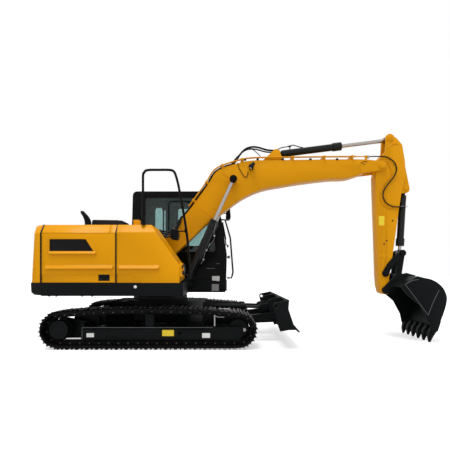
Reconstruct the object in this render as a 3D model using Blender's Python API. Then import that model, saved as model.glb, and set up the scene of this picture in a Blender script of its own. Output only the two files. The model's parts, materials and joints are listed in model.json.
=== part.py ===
"""Crawler excavator of the 13 to 14 tonne class, with a dozer blade in front.

Run it with: blender --background --python part.py, or from Blender's text editor.
Units are metres. +X points forward, +Y to the machine's left, where the cab is, and +Z up.
Every size below is measured from the slewing axis (X and Y) and from the ground (Z). The empty
named machine carries all pieces and moves them so that the machine's box is centred on the origin.
"""

import math

import bmesh
import bpy
from mathutils import Matrix, Vector

# Clearances
SEAT_GAP = 0.0003
SIDE_GAP = 0.0005
RUN_GAP = 0.006

# Tracks and their frames
TRACK_OUTER = 1.245
SHOE_WIDTH = 0.5
TRACK_MIDDLE = TRACK_OUTER - SHOE_WIDTH / 2
AXLE_X = 1.56
AXLE_Z = 0.33
PITCH_RADIUS = 0.245
TOP_RUN_RISE = 0.065
SHOE_COUNT = 46
GROUSER_HEIGHT = AXLE_Z - PITCH_RADIUS
SHOE_TOP = 0.058
SHOE_UNDER = 0.022
CHAIN_UNDER = 0.04
CHAIN_HALF_WIDTH = 0.085
WHEEL_RADIUS = PITCH_RADIUS - CHAIN_UNDER - 0.013
HUB_RADIUS = 0.155
SPROCKET_TEETH = 18
ROLLER_RADIUS = 0.07
ROLLER_COUNT = 7
ROLLER_PITCH = 0.34
ROLLER_SIDES = 12
CARRIER_RADIUS = 0.06
BEAM_IN = TRACK_MIDDLE - 0.145
BEAM_OUT = TRACK_MIDDLE + 0.135
BEAM_REAR = -1.17
BEAM_FRONT = 1.12
BEAM_TOP = 0.37
BEAM_BOTTOM = 0.15
YOKE_FRONT = 1.64

# Undercarriage centre
BODY_TOP = 0.76
BODY_BOTTOM = 0.40
BODY_HALF = 0.60
LEG_FROM = 0.42
LEG_TO = 0.90
RING_RADIUS = 0.54
RING_TOP = 0.92

# Blade
BLADE_PIVOT = (1.0, 0.42)
BLADE_ARM_Y = 0.45
BLADE_CYL_Y = 0.24
BLADE_FOOT = (1.01, 0.66)
BLADE_EYE = (2.06, 0.63)
BLADE_PLATE = 0.03

# Upper frame, hood and counterweight
HALF_WIDTH = 1.22
DECK_BOTTOM = RING_TOP + SEAT_GAP
DECK_TOP = 1.146
HOOD_REAR = -1.83
HOOD_MIDDLE = -0.55
HOOD_FRONT = 0.54
HOOD_TOP = 2.155
HOOD_EDGE = HOOD_TOP - 0.155
HOOD_EDGE_IN = 0.11
SLOPE_TOP_X = 0.037
SLOPE_FOOT_Z = 1.44
TAIL_SIDE = 0.144
TAIL_TUCK = 0.04
TAIL_RADIUS = math.hypot(HOOD_REAR - TAIL_SIDE, HALF_WIDTH - TAIL_TUCK)
TANK_INNER = -0.45
PANEL = 0.04

# Cab
CAB_RIGHT = 0.25
CAB_REAR = -0.69
CAB_FLOOR = DECK_TOP + SEAT_GAP
CAB_TOP = 3.04
CAB_WALL = 0.05
PLATFORM_FRONT = 1.36
PLATFORM_BOTTOM = 0.892
GLASS = 0.006
DOOR_HINGE_X = 0.0
HINGE_OUT = 0.012
HINGE_RADIUS = 0.012
LID_FRONT = -0.66
EXHAUST_X = -1.303
EXHAUST_Y = -0.5
CONSOLE_WIDTH = 0.165

# Boom
BOOM_Y = -0.10
BOOM_HALF = 0.15
BOOM_FOOT = (0.08, 1.73)
ARM_PIN = (4.43, 3.44)
BOOM_CYL_OFFSET = 0.26
BOOM_CYL_FOOT = (0.540, 1.094)
BOOM_CYL_EYE = (1.482, 3.135)
BOOM_EYE_HALF = 0.065
ARM_HALF = 0.12
BRACKET_OUT = 0.185

# Arm and its cylinder
ARM_CYL_FOOT = (2.35, 3.707)
ARM_CYL_EYE = (4.614, 3.996)
EYE_HALF = 0.075
EYE_RADIUS = 0.06
EAR_OUT = 0.11
EAR_RADIUS = 0.08
NECK_RADIUS = 0.045
ROD_GAP = 0.0005
ROD_HOLD = 0.05
# The gland's share of the barrel's length
GLAND_SHARE = 0.13

# Cylinder: barrel radius, rod radius, barrel length, rod's run out and in from rest
BOOM_CYLINDER = (0.070, 0.035, 1.37, 0.42, 0.59)
ARM_CYLINDER = (0.069, 0.038, 1.33, 0.34, 0.72)
BUCKET_CYLINDER = (0.068, 0.034, 1.13, 0.87, 0.08)
BLADE_CYLINDER = (0.05, 0.028, 0.72, 0.15, 0.04)

# Bucket linkage
BUCKET_PIN = (4.518, 0.968)
ROCKER_PIN = (4.518, 1.30)
LINK_PIN = (4.856, 1.704)
BUCKET_LINK_PIN = (4.784, 1.256)
BUCKET_CYL_FOOT = (4.93, 2.984)
ROCKER_PLATE = 0.025
BUCKET_EAR = 0.03
BUCKET_HALF = 0.55
TOOTH_COUNT = 6

# Material name: red, green, blue, metallic, roughness
FINISHES = {
    "machine_orange": (0.75, 0.35, 0.015, 0.0, 0.40),
    "dark_grey": (0.045, 0.047, 0.05, 0.2, 0.50),
    "cab_black": (0.02, 0.02, 0.022, 0.1, 0.40),
    "track_steel": (0.05, 0.048, 0.045, 0.7, 0.55),
    "bright_chrome": (0.80, 0.80, 0.82, 1.0, 0.12),
    "tinted_glass": (0.30, 0.42, 0.42, 0.0, 0.05),
    "seat_fabric": (0.05, 0.05, 0.055, 0.0, 0.85),
    "bare_iron": (0.16, 0.15, 0.14, 0.6, 0.60),
}


def clear_scene():
    """Removes what the file opened with."""
    for obj in list(bpy.data.objects):
        bpy.data.objects.remove(obj, do_unlink=True)


def material(name):
    """The finish of that name, made on its first use."""
    found = bpy.data.materials.get(name)
    if found:
        return found
    red, green, blue, metallic, roughness = FINISHES[name]
    made = bpy.data.materials.new(name)
    made.use_nodes = True
    shader = made.node_tree.nodes["Principled BSDF"]
    shader.inputs["Base Color"].default_value = (red, green, blue, 1.0)
    shader.inputs["Metallic"].default_value = metallic
    shader.inputs["Roughness"].default_value = roughness
    return made


def arc(centre, radius, start, end, steps):
    """Points of an arc in the drawing plane, angles in degrees."""
    points = []
    for step in range(steps + 1):
        angle = math.radians(start + (end - start) * step / steps)
        points.append((centre[0] + radius * math.cos(angle), centre[1] + radius * math.sin(angle)))
    return points


def rounded(corners, steps=3):
    """An outline from corners (u, v, radius): each corner with a radius becomes an arc."""
    outline = []
    count = len(corners)
    for index, (u, v, radius) in enumerate(corners):
        here = Vector((u, v))
        if not radius:
            outline.append((u, v))
            continue
        before = (Vector(corners[index - 1][:2]) - here)
        after = (Vector(corners[(index + 1) % count][:2]) - here)
        half = before.angle(after) / 2
        reach = min(radius / math.tan(half), 0.49 * before.length, 0.49 * after.length)
        fillet = reach * math.tan(half)
        middle = here + (before.normalized() + after.normalized()).normalized() * fillet / math.sin(half)
        first = here + before.normalized() * reach - middle
        last = here + after.normalized() * reach - middle
        turn = first.angle_signed(last)
        for step in range(steps + 1):
            spoke = Vector(first)
            spoke.rotate(Matrix.Rotation(-turn * step / steps, 2))
            outline.append(tuple(middle + spoke))
    return outline


def smooth(points, steps=3):
    """A smooth curve through the points of the side view."""
    route = [Vector(point) for point in points]
    route = [2 * route[0] - route[1]] + route + [2 * route[-1] - route[-2]]
    found = []
    for before, start, end, after in zip(route, route[1:], route[2:], route[3:]):
        for step in range(steps):
            share = step / steps
            bend = 2 * before - 5 * start + 4 * end - after
            turn = 3 * start - before - 3 * end + after
            found.append(
                tuple(0.5 * (2 * start + (end - before) * share + bend * share ** 2 + turn * share ** 3))
            )
    return found + [tuple(route[-2])]


def offset_from(origin, outline):
    """The outline moved so that it is drawn from that origin."""
    return [(origin[0] + u, origin[1] + v) for u, v in outline]


def mesh_from(form):
    """A mesh with its faces pointing out, from a bmesh."""
    bmesh.ops.recalc_face_normals(form, faces=form.faces)
    mesh = bpy.data.meshes.new("solid")
    form.to_mesh(mesh)
    form.free()
    return mesh


def prism(outline, low, high, axis="Y"):
    """The outline, drawn across the axis, extruded along it from low to high."""
    places = {
        "X": lambda u, v, w: (w, u, v),
        "Y": lambda u, v, w: (u, w, v),
        "Z": lambda u, v, w: (u, v, w),
    }[axis]
    low, high = sorted((low, high))
    form = bmesh.new()
    base = form.faces.new([form.verts.new(places(u, v, low)) for u, v in outline])
    grown = bmesh.ops.extrude_face_region(form, geom=[base])["geom"]
    moved = [item for item in grown if isinstance(item, bmesh.types.BMVert)]
    bmesh.ops.translate(form, verts=moved, vec=places(0, 0, high - low))
    return mesh_from(form)


def block(x_range, y_range, z_range):
    """A box between the given coordinates."""
    (x_low, x_high), (z_low, z_high) = x_range, z_range
    corners = [(x_low, z_low), (x_high, z_low), (x_high, z_high), (x_low, z_high)]
    return prism(corners, *y_range)


def skinned(form, rings):
    """A mesh of the rings of vertices, joined in their order and closed at both ends."""
    form.faces.new(rings[0])
    form.faces.new(rings[-1])
    count = len(rings[0])
    for first, second in zip(rings, rings[1:]):
        for index in range(count):
            after = (index + 1) % count
            form.faces.new((first[index], first[after], second[after], second[index]))
    return mesh_from(form)


def turned(start, direction, profile, sides=16):
    """A turned solid: profile rows are (distance along the direction, radius)."""
    axis = Vector(direction).normalized()
    side = axis.cross(Vector((0, 0, 1)) if abs(axis.z) < 0.9 else Vector((1, 0, 0))).normalized()
    up = side.cross(axis)
    form = bmesh.new()
    rings = []
    for along, radius in profile:
        centre = Vector(start) + axis * along
        ring = []
        for index in range(sides):
            angle = 2 * math.pi * (index + 0.5) / sides
            ring.append(form.verts.new(centre + radius * (side * math.cos(angle) + up * math.sin(angle))))
        rings.append(ring)
    return skinned(form, rings)


def pin_across(place, y_range, radius, sides=16):
    """A round bar along Y at a point of the side view."""
    low, high = sorted(y_range)
    return turned((place[0], low, place[1]), (0, 1, 0), [(0, radius), (high - low, radius)], sides)


def tube_along(points, radius, sides=8):
    """A round tube swept along a path of points."""
    path = [Vector(point) for point in points]
    form = bmesh.new()
    rings = []
    side = None
    for index, centre in enumerate(path):
        tangent = (path[min(index + 1, len(path) - 1)] - path[max(index - 1, 0)]).normalized()
        if side is None:
            side = tangent.orthogonal().normalized()
        side = (side - tangent * side.dot(tangent)).normalized()
        up = tangent.cross(side)
        ring = []
        for step in range(sides):
            angle = 2 * math.pi * step / sides
            ring.append(form.verts.new(centre + radius * (side * math.cos(angle) + up * math.sin(angle))))
        rings.append(ring)
    return skinned(form, rings)


def lofted(levels):
    """A solid through level outlines: rows are (height, outline) with as many points in each."""
    form = bmesh.new()
    return skinned(
        form, [[form.verts.new((u, v, height)) for u, v in outline] for height, outline in levels],
    )


def in_plane(outline, y_place):
    """Side-view points placed at one Y."""
    return [(u, y_place, v) for u, v in outline]


def fused(solids, cuts=()):
    """One mesh: the union of the solids, less the cuts."""
    scene = bpy.context.scene
    base = bpy.data.objects.new("base", solids[0])
    scene.collection.objects.link(base)
    for operation, meshes in (("UNION", solids[1:]), ("DIFFERENCE", cuts)):
        if not meshes:
            continue
        group = bpy.data.collections.new(operation)
        for mesh in meshes:
            group.objects.link(bpy.data.objects.new("operand", mesh))
        scene.collection.children.link(group)
        modifier = base.modifiers.new(operation, "BOOLEAN")
        modifier.operation = operation
        modifier.operand_type = "COLLECTION"
        modifier.collection = group
    bpy.context.view_layer.update()
    graph = bpy.context.evaluated_depsgraph_get()
    result = bpy.data.meshes.new_from_object(base.evaluated_get(graph))
    for group in [modifier.collection for modifier in base.modifiers]:
        for obj in list(group.objects):
            bpy.data.objects.remove(obj, do_unlink=True)
        bpy.data.collections.remove(group)
    bpy.data.objects.remove(base, do_unlink=True)
    return result


def node(name, finish, mesh, pivot=(0, 0, 0)):
    """The named piece, with its origin at its pivot, carried by the machine's empty."""
    mesh.name = name
    mesh.transform(Matrix.Translation(-Vector(pivot)))
    mesh.materials.clear()
    mesh.materials.append(material(finish))
    mesh.shade_smooth()
    mesh.set_sharp_from_angle(angle=math.radians(30))
    piece = bpy.data.objects.new(name, mesh)
    bpy.context.scene.collection.objects.link(piece)
    piece.location = pivot
    piece.parent = bpy.data.objects["machine"]
    return piece


def at_boom(offset):
    """A Y measured from the boom's middle plane."""
    return BOOM_Y + offset


def both_ways(inner, outer):
    """The two mirrored Y ranges about the boom's middle plane."""
    return [(at_boom(side * inner), at_boom(side * outer)) for side in (-1, 1)]


def track_loop():
    """Dense points along the chain's pins, round the loop from the rear of the ground run."""
    low = AXLE_Z - PITCH_RADIUS
    points = [(-AXLE_X, low)]
    points += arc((AXLE_X, AXLE_Z), PITCH_RADIUS, -90, 90, 40)
    for step in range(1, 40):
        x = AXLE_X - 2 * AXLE_X * step / 40
        points.append((x, AXLE_Z + PITCH_RADIUS + TOP_RUN_RISE * (1 - (x / AXLE_X) ** 2)))
    points += arc((-AXLE_X, AXLE_Z), PITCH_RADIUS, 90, 270, 40)
    return [Vector(point) for point in points]


def along_loop(loop, share):
    """The point and the outward normal at a share of the loop's length."""
    pieces = list(zip(loop, loop[1:] + loop[:1]))
    total = sum((end - start).length for start, end in pieces)
    left = (share % 1.0) * total
    for start, end in pieces:
        length = (end - start).length
        if length > 0 and left <= length:
            tangent = (end - start) / length
            return start + tangent * left, Vector((tangent.y, -tangent.x))
        left -= length
    return loop[0], Vector((0, -1))


# One shoe seen from the side: share of the pitch from its middle, height over the pins' line
SHOE_OUTLINE = (
    (-0.485, SHOE_TOP - 0.008),
    (-0.43, GROUSER_HEIGHT),
    (-0.36, SHOE_TOP),
    (-0.05, SHOE_TOP),
    (0.0, GROUSER_HEIGHT - 0.004),
    (0.05, SHOE_TOP),
    (0.36, SHOE_TOP),
    (0.43, GROUSER_HEIGHT),
    (0.485, SHOE_TOP - 0.008),
)


def track_outlines():
    """The outlines of the shoes' outside, the shoes' underside, and the chain's two faces."""
    loop = track_loop()
    shoes, under, chain_out, chain_in = [], [], [], []
    for index in range(SHOE_COUNT):
        first, _ = along_loop(loop, index / SHOE_COUNT)
        joint, joint_normal = along_loop(loop, (index + 1) / SHOE_COUNT)
        place = (first + joint) / 2
        pitch = (joint - first).length
        tangent = (joint - first) / pitch
        normal = Vector((tangent.y, -tangent.x))
        for share, height in SHOE_OUTLINE:
            shoes.append(tuple(place + tangent * share * pitch + normal * height))
        under.append(tuple(joint + joint_normal * SHOE_UNDER))
        chain_out.append(tuple(joint + joint_normal * (SHOE_UNDER + SHOE_TOP) / 2))
        chain_in.append(tuple(joint - joint_normal * CHAIN_UNDER))
    return shoes, under, chain_out, chain_in


def build_track(name, side):
    """One closed loop: the belt of shoes and the narrower chain inside it."""
    shoes, under, chain_out, chain_in = track_outlines()
    low, high = TRACK_OUTER - SHOE_WIDTH, TRACK_OUTER
    belt = fused(
        [prism(shoes, side * low, side * high)], [prism(under, side * (low - 1), side * (high + 1))],
    )
    near, far = TRACK_MIDDLE - CHAIN_HALF_WIDTH, TRACK_MIDDLE + CHAIN_HALF_WIDTH
    chain = fused(
        [prism(chain_out, side * near, side * far)], [prism(chain_in, side * (near - 1), side * (far + 1))],
    )
    node(name, "track_steel", fused([belt, chain]))


def roller_places():
    """X places of the bottom rollers, evenly spaced about the middle."""
    return [ROLLER_PITCH * (index - (ROLLER_COUNT - 1) / 2) for index in range(ROLLER_COUNT)]


# Shallow slots in the beam's outer face, as ranges of X and Z, and its round hole
BEAM_SLOTS = (((-0.925, -0.635), (0.285, 0.335)), ((0.62, 0.98), (0.285, 0.325)))
BEAM_HOLE = (0.53, 0.27, 0.035)


def build_track_frame(name, side):
    """The roller beam with its rollers, the carrier roller, the idler's yoke and the drive's plate."""
    middle = side * TRACK_MIDDLE
    flat = math.cos(math.pi / ROLLER_SIDES)
    roller_z = AXLE_Z - PITCH_RADIUS + CHAIN_UNDER + ROLLER_RADIUS * flat + SEAT_GAP
    beam = prism(
        [
            (side * BEAM_IN, BEAM_BOTTOM),
            (side * BEAM_OUT, BEAM_BOTTOM),
            (side * BEAM_OUT, BEAM_TOP - 0.05),
            (side * (BEAM_OUT - 0.05), BEAM_TOP),
            (side * BEAM_IN, BEAM_TOP),
        ],
        BEAM_REAR,
        BEAM_FRONT,
        "X",
    )
    solids = [beam]
    yoke = rounded(
        [
            (BEAM_FRONT - 0.05, BEAM_BOTTOM, 0),
            (YOKE_FRONT - 0.06, BEAM_BOTTOM - 0.02, 0.04),
            (YOKE_FRONT, AXLE_Z - 0.06, 0.03),
            (YOKE_FRONT, AXLE_Z + 0.05, 0.04),
            (BEAM_FRONT - 0.05, BEAM_TOP, 0),
        ]
    )
    for inner in (BEAM_IN, BEAM_OUT - 0.04):
        solids.append(prism(yoke, side * inner, side * (inner + 0.04)))
    for x in roller_places():
        rows = [(0, 0.045), (0.03, 0.045), (0.03, ROLLER_RADIUS), (0.09, ROLLER_RADIUS), (0.1, 0.05)]
        rows += [(0.13, 0.05), (0.14, ROLLER_RADIUS), (0.2, ROLLER_RADIUS), (0.2, 0.045), (0.23, 0.045)]
        solids.append(turned((x, middle - 0.115, roller_z), (0, 1, 0), rows, ROLLER_SIDES))
    carrier_z = AXLE_Z + PITCH_RADIUS + TOP_RUN_RISE - CHAIN_UNDER - CARRIER_RADIUS - 0.001
    carrier_ends = (side * (BEAM_OUT - 0.02), side * (BEAM_IN + 0.06))
    solids.append(pin_across((0, carrier_z), carrier_ends, CARRIER_RADIUS, ROLLER_SIDES))
    stand = [(-0.07, BEAM_TOP - 0.05), (0.09, BEAM_TOP - 0.05), (0.05, carrier_z), (-0.04, carrier_z)]
    solids.append(prism(stand, side * BEAM_IN, side * (BEAM_IN + 0.08)))
    drive = arc((-AXLE_X, AXLE_Z), WHEEL_RADIUS - 0.002, 90, 270, 8)
    drive += [(BEAM_REAR + 0.05, BEAM_BOTTOM), (BEAM_REAR + 0.05, AXLE_Z + 0.1)]
    solids.append(prism(drive, side * BEAM_IN, side * (BEAM_IN + 0.05)))
    rear_plate = [(BEAM_REAR - 0.02, BEAM_BOTTOM), (BEAM_REAR + 0.03, BEAM_BOTTOM)]
    rear_plate += [(BEAM_REAR + 0.03, AXLE_Z + 0.1), (BEAM_REAR - 0.02, AXLE_Z + 0.1)]
    solids.append(prism(rear_plate, side * (BEAM_IN + 0.01), side * (BEAM_OUT - 0.02)))
    outer = side * (BEAM_OUT + 0.1)
    pocket = side * (BEAM_OUT - 0.012)
    cuts = [block(x_range, (pocket, outer), z_range) for x_range, z_range in BEAM_SLOTS]
    cuts.append(
        pin_across((BEAM_HOLE[0], BEAM_HOLE[1]), (side * (BEAM_OUT - 0.05), outer), BEAM_HOLE[2], 12)
    )
    node(name, "dark_grey", fused(solids, cuts))


def build_sprocket(name, side):
    """The toothed drive wheel with its hub cover and its gear housing."""
    teeth = []
    root = WHEEL_RADIUS - 0.022
    for index in range(SPROCKET_TEETH):
        for turn, radius in ((0.0, WHEEL_RADIUS), (0.3, WHEEL_RADIUS), (0.45, root), (0.85, root)):
            angle = 2 * math.pi * (index + turn) / SPROCKET_TEETH
            teeth.append((-AXLE_X + radius * math.cos(angle), AXLE_Z + radius * math.sin(angle)))
    wheel = prism(teeth, side * (TRACK_MIDDLE - 0.03), side * (TRACK_MIDDLE + 0.03))
    inner = BEAM_IN + 0.05 + SEAT_GAP
    length = BEAM_OUT + 0.03 - inner
    rows = [(0, HUB_RADIUS), (length - 0.03, HUB_RADIUS), (length - 0.01, HUB_RADIUS - 0.015)]
    rows += [(length - 0.01, HUB_RADIUS - 0.035), (length, HUB_RADIUS - 0.04)]
    hub = turned((-AXLE_X, side * inner, AXLE_Z), (0, side, 0), rows, 20)
    node(name, "bare_iron", fused([wheel, hub]), (-AXLE_X, 0, AXLE_Z))


def build_idler(name, side):
    """The plain front wheel between the yoke's plates."""
    near = BEAM_IN + 0.04 + SEAT_GAP
    length = BEAM_OUT - 0.04 - SEAT_GAP - near
    rim = 0.05
    rows = [
        (0, 0.05), (rim, 0.05), (rim, WHEEL_RADIUS - 0.02), (rim + 0.03, WHEEL_RADIUS),
        (length - rim - 0.03, WHEEL_RADIUS),
    ]
    rows += [(length - rim, WHEEL_RADIUS - 0.02), (length - rim, 0.05), (length, 0.05)]
    wheel = turned((AXLE_X, side * near, AXLE_Z), (0, side, 0), rows, 24)
    node(name, "bare_iron", wheel, (AXLE_X, 0, AXLE_Z))


def build_car_body():
    """The centre of the undercarriage, its four legs, and the brackets of the blade."""
    reach = BEAM_IN - SEAT_GAP
    foot, root, shoulder = reach - 0.14, reach - 0.40, reach - 0.35
    section = [
        (-reach, 0.17), (-foot, 0.17), (-root, BODY_BOTTOM), (root, BODY_BOTTOM), (foot, 0.17),
        (reach, 0.17),
        (reach, BEAM_TOP - 0.01), (foot, 0.40), (shoulder, BODY_TOP), (-shoulder, BODY_TOP), (-foot, 0.40),
        (-reach, BEAM_TOP - 0.01),
    ]
    solids = [prism(section, -LEG_TO, -LEG_FROM, "X"), prism(section, LEG_FROM, LEG_TO, "X")]
    plan = rounded(
        [(-BODY_HALF, -0.52, 0.1), (BODY_HALF, -0.52, 0.1), (BODY_HALF, 0.52, 0.1), (-BODY_HALF, 0.52, 0.1)]
    )
    solids.append(prism(plan, BODY_BOTTOM + 0.005, BODY_TOP + 0.005, "Z"))
    solids.append(
        turned(
            (0, 0, BODY_TOP - 0.05), (0, 0, 1), [(0, RING_RADIUS + 0.02), (0.08, RING_RADIUS + 0.02)], 32,
        )
    )
    arm_ear = rounded(
        [(LEG_TO - 0.05, 0.32, 0), (1.07, 0.34, 0.05), (1.07, 0.50, 0.05), (LEG_TO - 0.05, 0.60, 0)]
    )
    for side in (-1, 1):
        for edge in (BLADE_ARM_Y - 0.055 - SIDE_GAP - 0.03, BLADE_ARM_Y + 0.055 + SIDE_GAP):
            solids.append(prism(arm_ear, side * edge, side * (edge + 0.03)))
    eye_ear = rounded(
        [(LEG_TO - 0.05, 0.58, 0), (1.07, 0.60, 0.05), (1.07, 0.72, 0.05), (LEG_TO - 0.05, 0.74, 0)]
    )
    for side in (-1, 1):
        for edge in (BLADE_CYL_Y - EYE_HALF - SIDE_GAP - 0.025, BLADE_CYL_Y + EYE_HALF + SIDE_GAP):
            solids.append(prism(eye_ear, side * edge, side * (edge + 0.025)))
    node("car_body", "dark_grey", fused(solids))


def build_slew_ring():
    """The outer race of the slewing ring, open in the middle."""
    base = BODY_TOP + 0.03 + SEAT_GAP
    height = RING_TOP - base
    race = turned(
        (0, 0, base), (0, 0, 1),
        [
            (0, RING_RADIUS), (height * 0.55, RING_RADIUS), (height * 0.6, RING_RADIUS - 0.03),
            (height, RING_RADIUS - 0.03),
        ],
        32,
    )
    bore = turned(
        (0, 0, base - 0.1), (0, 0, 1), [(0, RING_RADIUS - 0.12), (height + 0.2, RING_RADIUS - 0.12)], 32,
    )
    node("slew_ring", "bare_iron", fused([race], [bore]))


# Side view of the mouldboard's front face, top to cutting edge
BLADE_FACE = (
    (2.418, 0.854), (2.406, 0.717), (2.425, 0.579), (2.470, 0.465), (2.538, 0.385), (2.608, 0.306),
)
# Side view of an end plate's back, from the bottom up
BLADE_BACK = ((2.494, 0.357), (2.265, 0.315), (2.207, 0.465), (2.161, 0.647), (2.127, 0.797))
BLADE_LASHING = (2.195, 0.745)


def build_blade():
    """Mouldboard, end plates, ribs, push arms and the ears of its two cylinders."""
    behind = [(x - BLADE_PLATE, z + 0.01) for x, z in reversed(BLADE_FACE[:-1])]
    board = prism(list(BLADE_FACE) + [(2.575, 0.300)] + behind, -TRACK_OUTER, TRACK_OUTER)
    solids = [board]
    inside = [(x - 0.005, z, 0) for x, z in BLADE_FACE]
    back = [(x, z, 0) for x, z in BLADE_BACK[:-1]]
    plate = rounded(inside + back + [(*BLADE_BACK[-1], 0.06)])
    for y in (-TRACK_OUTER + BLADE_PLATE, -BLADE_ARM_Y, BLADE_ARM_Y, TRACK_OUTER):
        solids.append(prism(plate, y - BLADE_PLATE, y))
    beam = [(2.52, 0.36), (2.30, 0.34), (2.25, 0.60), (2.42, 0.66)]
    solids.append(prism(beam, -TRACK_OUTER + 0.01, TRACK_OUTER - 0.01))
    arm = rounded(
        [
            (BLADE_PIVOT[0] - 0.065, 0.37, 0.05), (1.75, 0.35, 0), (2.30, 0.37, 0),
            (2.30, 0.56, 0), (1.80, 0.50, 0), (BLADE_PIVOT[0] - 0.065, 0.48, 0.05),
        ]
    )
    for side in (-1, 1):
        solids.append(prism(arm, side * (BLADE_ARM_Y - 0.055), side * (BLADE_ARM_Y + 0.055)))
        ear = rounded(
            [(2.40, 0.56, 0), (2.40, 0.74, 0), (1.99, 0.69, 0.06), (1.99, 0.57, 0.06), (2.2, 0.52, 0)]
        )
        for edge in (BLADE_CYL_Y - EYE_HALF - SIDE_GAP - 0.025, BLADE_CYL_Y + EYE_HALF + SIDE_GAP):
            solids.append(prism(ear, side * edge, side * (edge + 0.025)))
    eyes = []
    for side in (-1, 1):
        eyes.append(
            pin_across(
                BLADE_LASHING, (side * (TRACK_OUTER - BLADE_PLATE - 0.05), side * (TRACK_OUTER + 0.05)),
                0.028, 12,
            )
        )
    node("blade", "dark_grey", fused(solids, eyes), (BLADE_PIVOT[0], 0, BLADE_PIVOT[1]))


def build_cylinder(name, foot, eye, y, sizes, half, finish="cab_black", eye_radius=EYE_RADIUS):
    """A hydraulic cylinder between two pins, as a barrel with its foot and a rod with its eye.

    The sizes are the barrel's radius, the rod's radius, the barrel's length, and how far the rod
    runs out and in from where it stands.
    """
    radius, rod_radius, barrel, runs_out, runs_in = sizes
    start = Vector((foot[0], y, foot[1]))
    end = Vector((eye[0], y, eye[1]))
    direction = (end - start).normalized()
    length = (end - start).length
    rod_start = barrel - ROD_HOLD - runs_out
    neck = EAR_RADIUS + 0.03
    gland = radius + 0.01
    collar = barrel * (1 - GLAND_SHARE)
    rows = [(eye_radius * 0.5, NECK_RADIUS), (neck, NECK_RADIUS), (neck, radius), (collar, radius)]
    shell = turned(start, direction, rows + [(collar, gland), (barrel, gland)], 16)
    bore_radius = rod_radius + ROD_GAP
    bore_start = rod_start - runs_in - RUN_GAP
    bore = turned(start, direction, [(bore_start, bore_radius), (barrel + 0.2, bore_radius)], 16)
    foot_eye = pin_across(foot, (y - half, y + half), eye_radius, 16)
    node(name + "_tube", finish, fused([shell, foot_eye], [bore]), tuple(start))
    rod = turned(start, direction, [(rod_start, rod_radius), (length - eye_radius * 0.5, rod_radius)], 16)
    rod_eye = pin_across(eye, (y - half, y + half), eye_radius, 16)
    node(name + "_rod", "bright_chrome", fused([rod, rod_eye]), tuple(start))


# Front of the revolving frame between the tank and the cab
BAY_FRONT = 0.44


def deck_plan():
    """Plan of the revolving frame: the right side box, the boom's bay and the cab's platform."""
    return [
        (HOOD_REAR, -HALF_WIDTH), (0.60, -HALF_WIDTH), (0.60, TANK_INNER), (BAY_FRONT, TANK_INNER + 0.02),
        (BAY_FRONT, CAB_RIGHT - 0.01), (PLATFORM_FRONT - 0.05, CAB_RIGHT), (PLATFORM_FRONT, CAB_RIGHT + 0.06),
        (PLATFORM_FRONT, HALF_WIDTH - 0.06), (PLATFORM_FRONT - 0.06, HALF_WIDTH), (HOOD_REAR, HALF_WIDTH),
    ]


def build_main_deck():
    """The revolving frame with the boom's brackets and the feet of the boom's cylinders."""
    solids = [prism(deck_plan(), DECK_BOTTOM, DECK_TOP, "Z")]
    platform = [
        (CAB_REAR, CAB_RIGHT + 0.01), (PLATFORM_FRONT - 0.04, CAB_RIGHT + 0.01),
        (PLATFORM_FRONT - 0.01, HALF_WIDTH - 0.07), (PLATFORM_FRONT - 0.07, HALF_WIDTH - 0.01),
        (CAB_REAR, HALF_WIDTH - 0.01),
    ]
    ring_room = turned(
        (0, 0, 0.5), (0, 0, 1), [(0, RING_RADIUS + 0.05), (DECK_BOTTOM + 0.01 - 0.5, RING_RADIUS + 0.05)],
        32,
    )
    solids.append(fused([prism(platform, PLATFORM_BOTTOM, DECK_TOP - 0.01, "Z")], [ring_room]))
    bracket = [(-0.45, DECK_TOP - 0.05), (BAY_FRONT - 0.01, DECK_TOP - 0.05), (0.40, 1.35)]
    bracket += arc(BOOM_FOOT, 0.13, -10, 150, 8) + [(-0.25, 1.45)]
    for near, far in both_ways(BOOM_HALF + SIDE_GAP, BRACKET_OUT):
        solids.append(prism(bracket, near, far))
    for side in (-1, 1):
        solids.append(
            pin_across(
                BOOM_FOOT, (at_boom(side * (BRACKET_OUT - 0.01)), at_boom(side * (BRACKET_OUT + 0.015))),
                0.06, 12,
            )
        )
        middle = at_boom(side * BOOM_CYL_OFFSET)
        ear = [(BAY_FRONT - 0.06, 0.96), (0.50, 0.95)] + arc(BOOM_CYL_FOOT, EAR_RADIUS, -70, 110, 6)
        ear += [(BAY_FRONT - 0.06, 1.14)]
        for edge in (-BOOM_EYE_HALF - SIDE_GAP - 0.018, BOOM_EYE_HALF + SIDE_GAP):
            solids.append(prism(ear, middle + edge, middle + edge + 0.018))
    nose = [(x, at_boom(y)) for x, y in ((0.40, -0.34), (0.465, -0.34), (0.465, 0.34), (0.40, 0.34))]
    solids.append(prism(nose, 0.955, 1.135, "Z"))
    node("main_deck", "dark_grey", fused(solids))


def tail_plan(side_inset, tail_inset):
    """Plan of the tail: an arc about the slewing axis between two straight sides."""
    front = HOOD_REAR - SEAT_GAP
    radius = TAIL_RADIUS - tail_inset
    swing = math.degrees(math.asin((HALF_WIDTH - TAIL_TUCK - side_inset) / radius))
    side = HALF_WIDTH - side_inset
    return [(front, side)] + arc((0, 0), radius, 180 - swing, 180 + swing, 16) + [(front, -side)]


# Heights of the counterweight and of its dark foot: height, inset of the sides, inset of the tail
WEIGHT_LEVELS = (
    (DECK_TOP + SEAT_GAP, 0.0, -0.03),
    (HOOD_EDGE, 0.0, 0.01),
    (HOOD_TOP - 0.03, 0.09, 0.04),
    (HOOD_TOP, 0.12, 0.09),
)
FOOT_LEVELS = (
    (0.925, 0.07, 0.06),
    (0.94, 0.03, 0.0),
    (0.98, 0.0, -0.04),
    (DECK_TOP, 0.0, -0.048),
)


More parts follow.
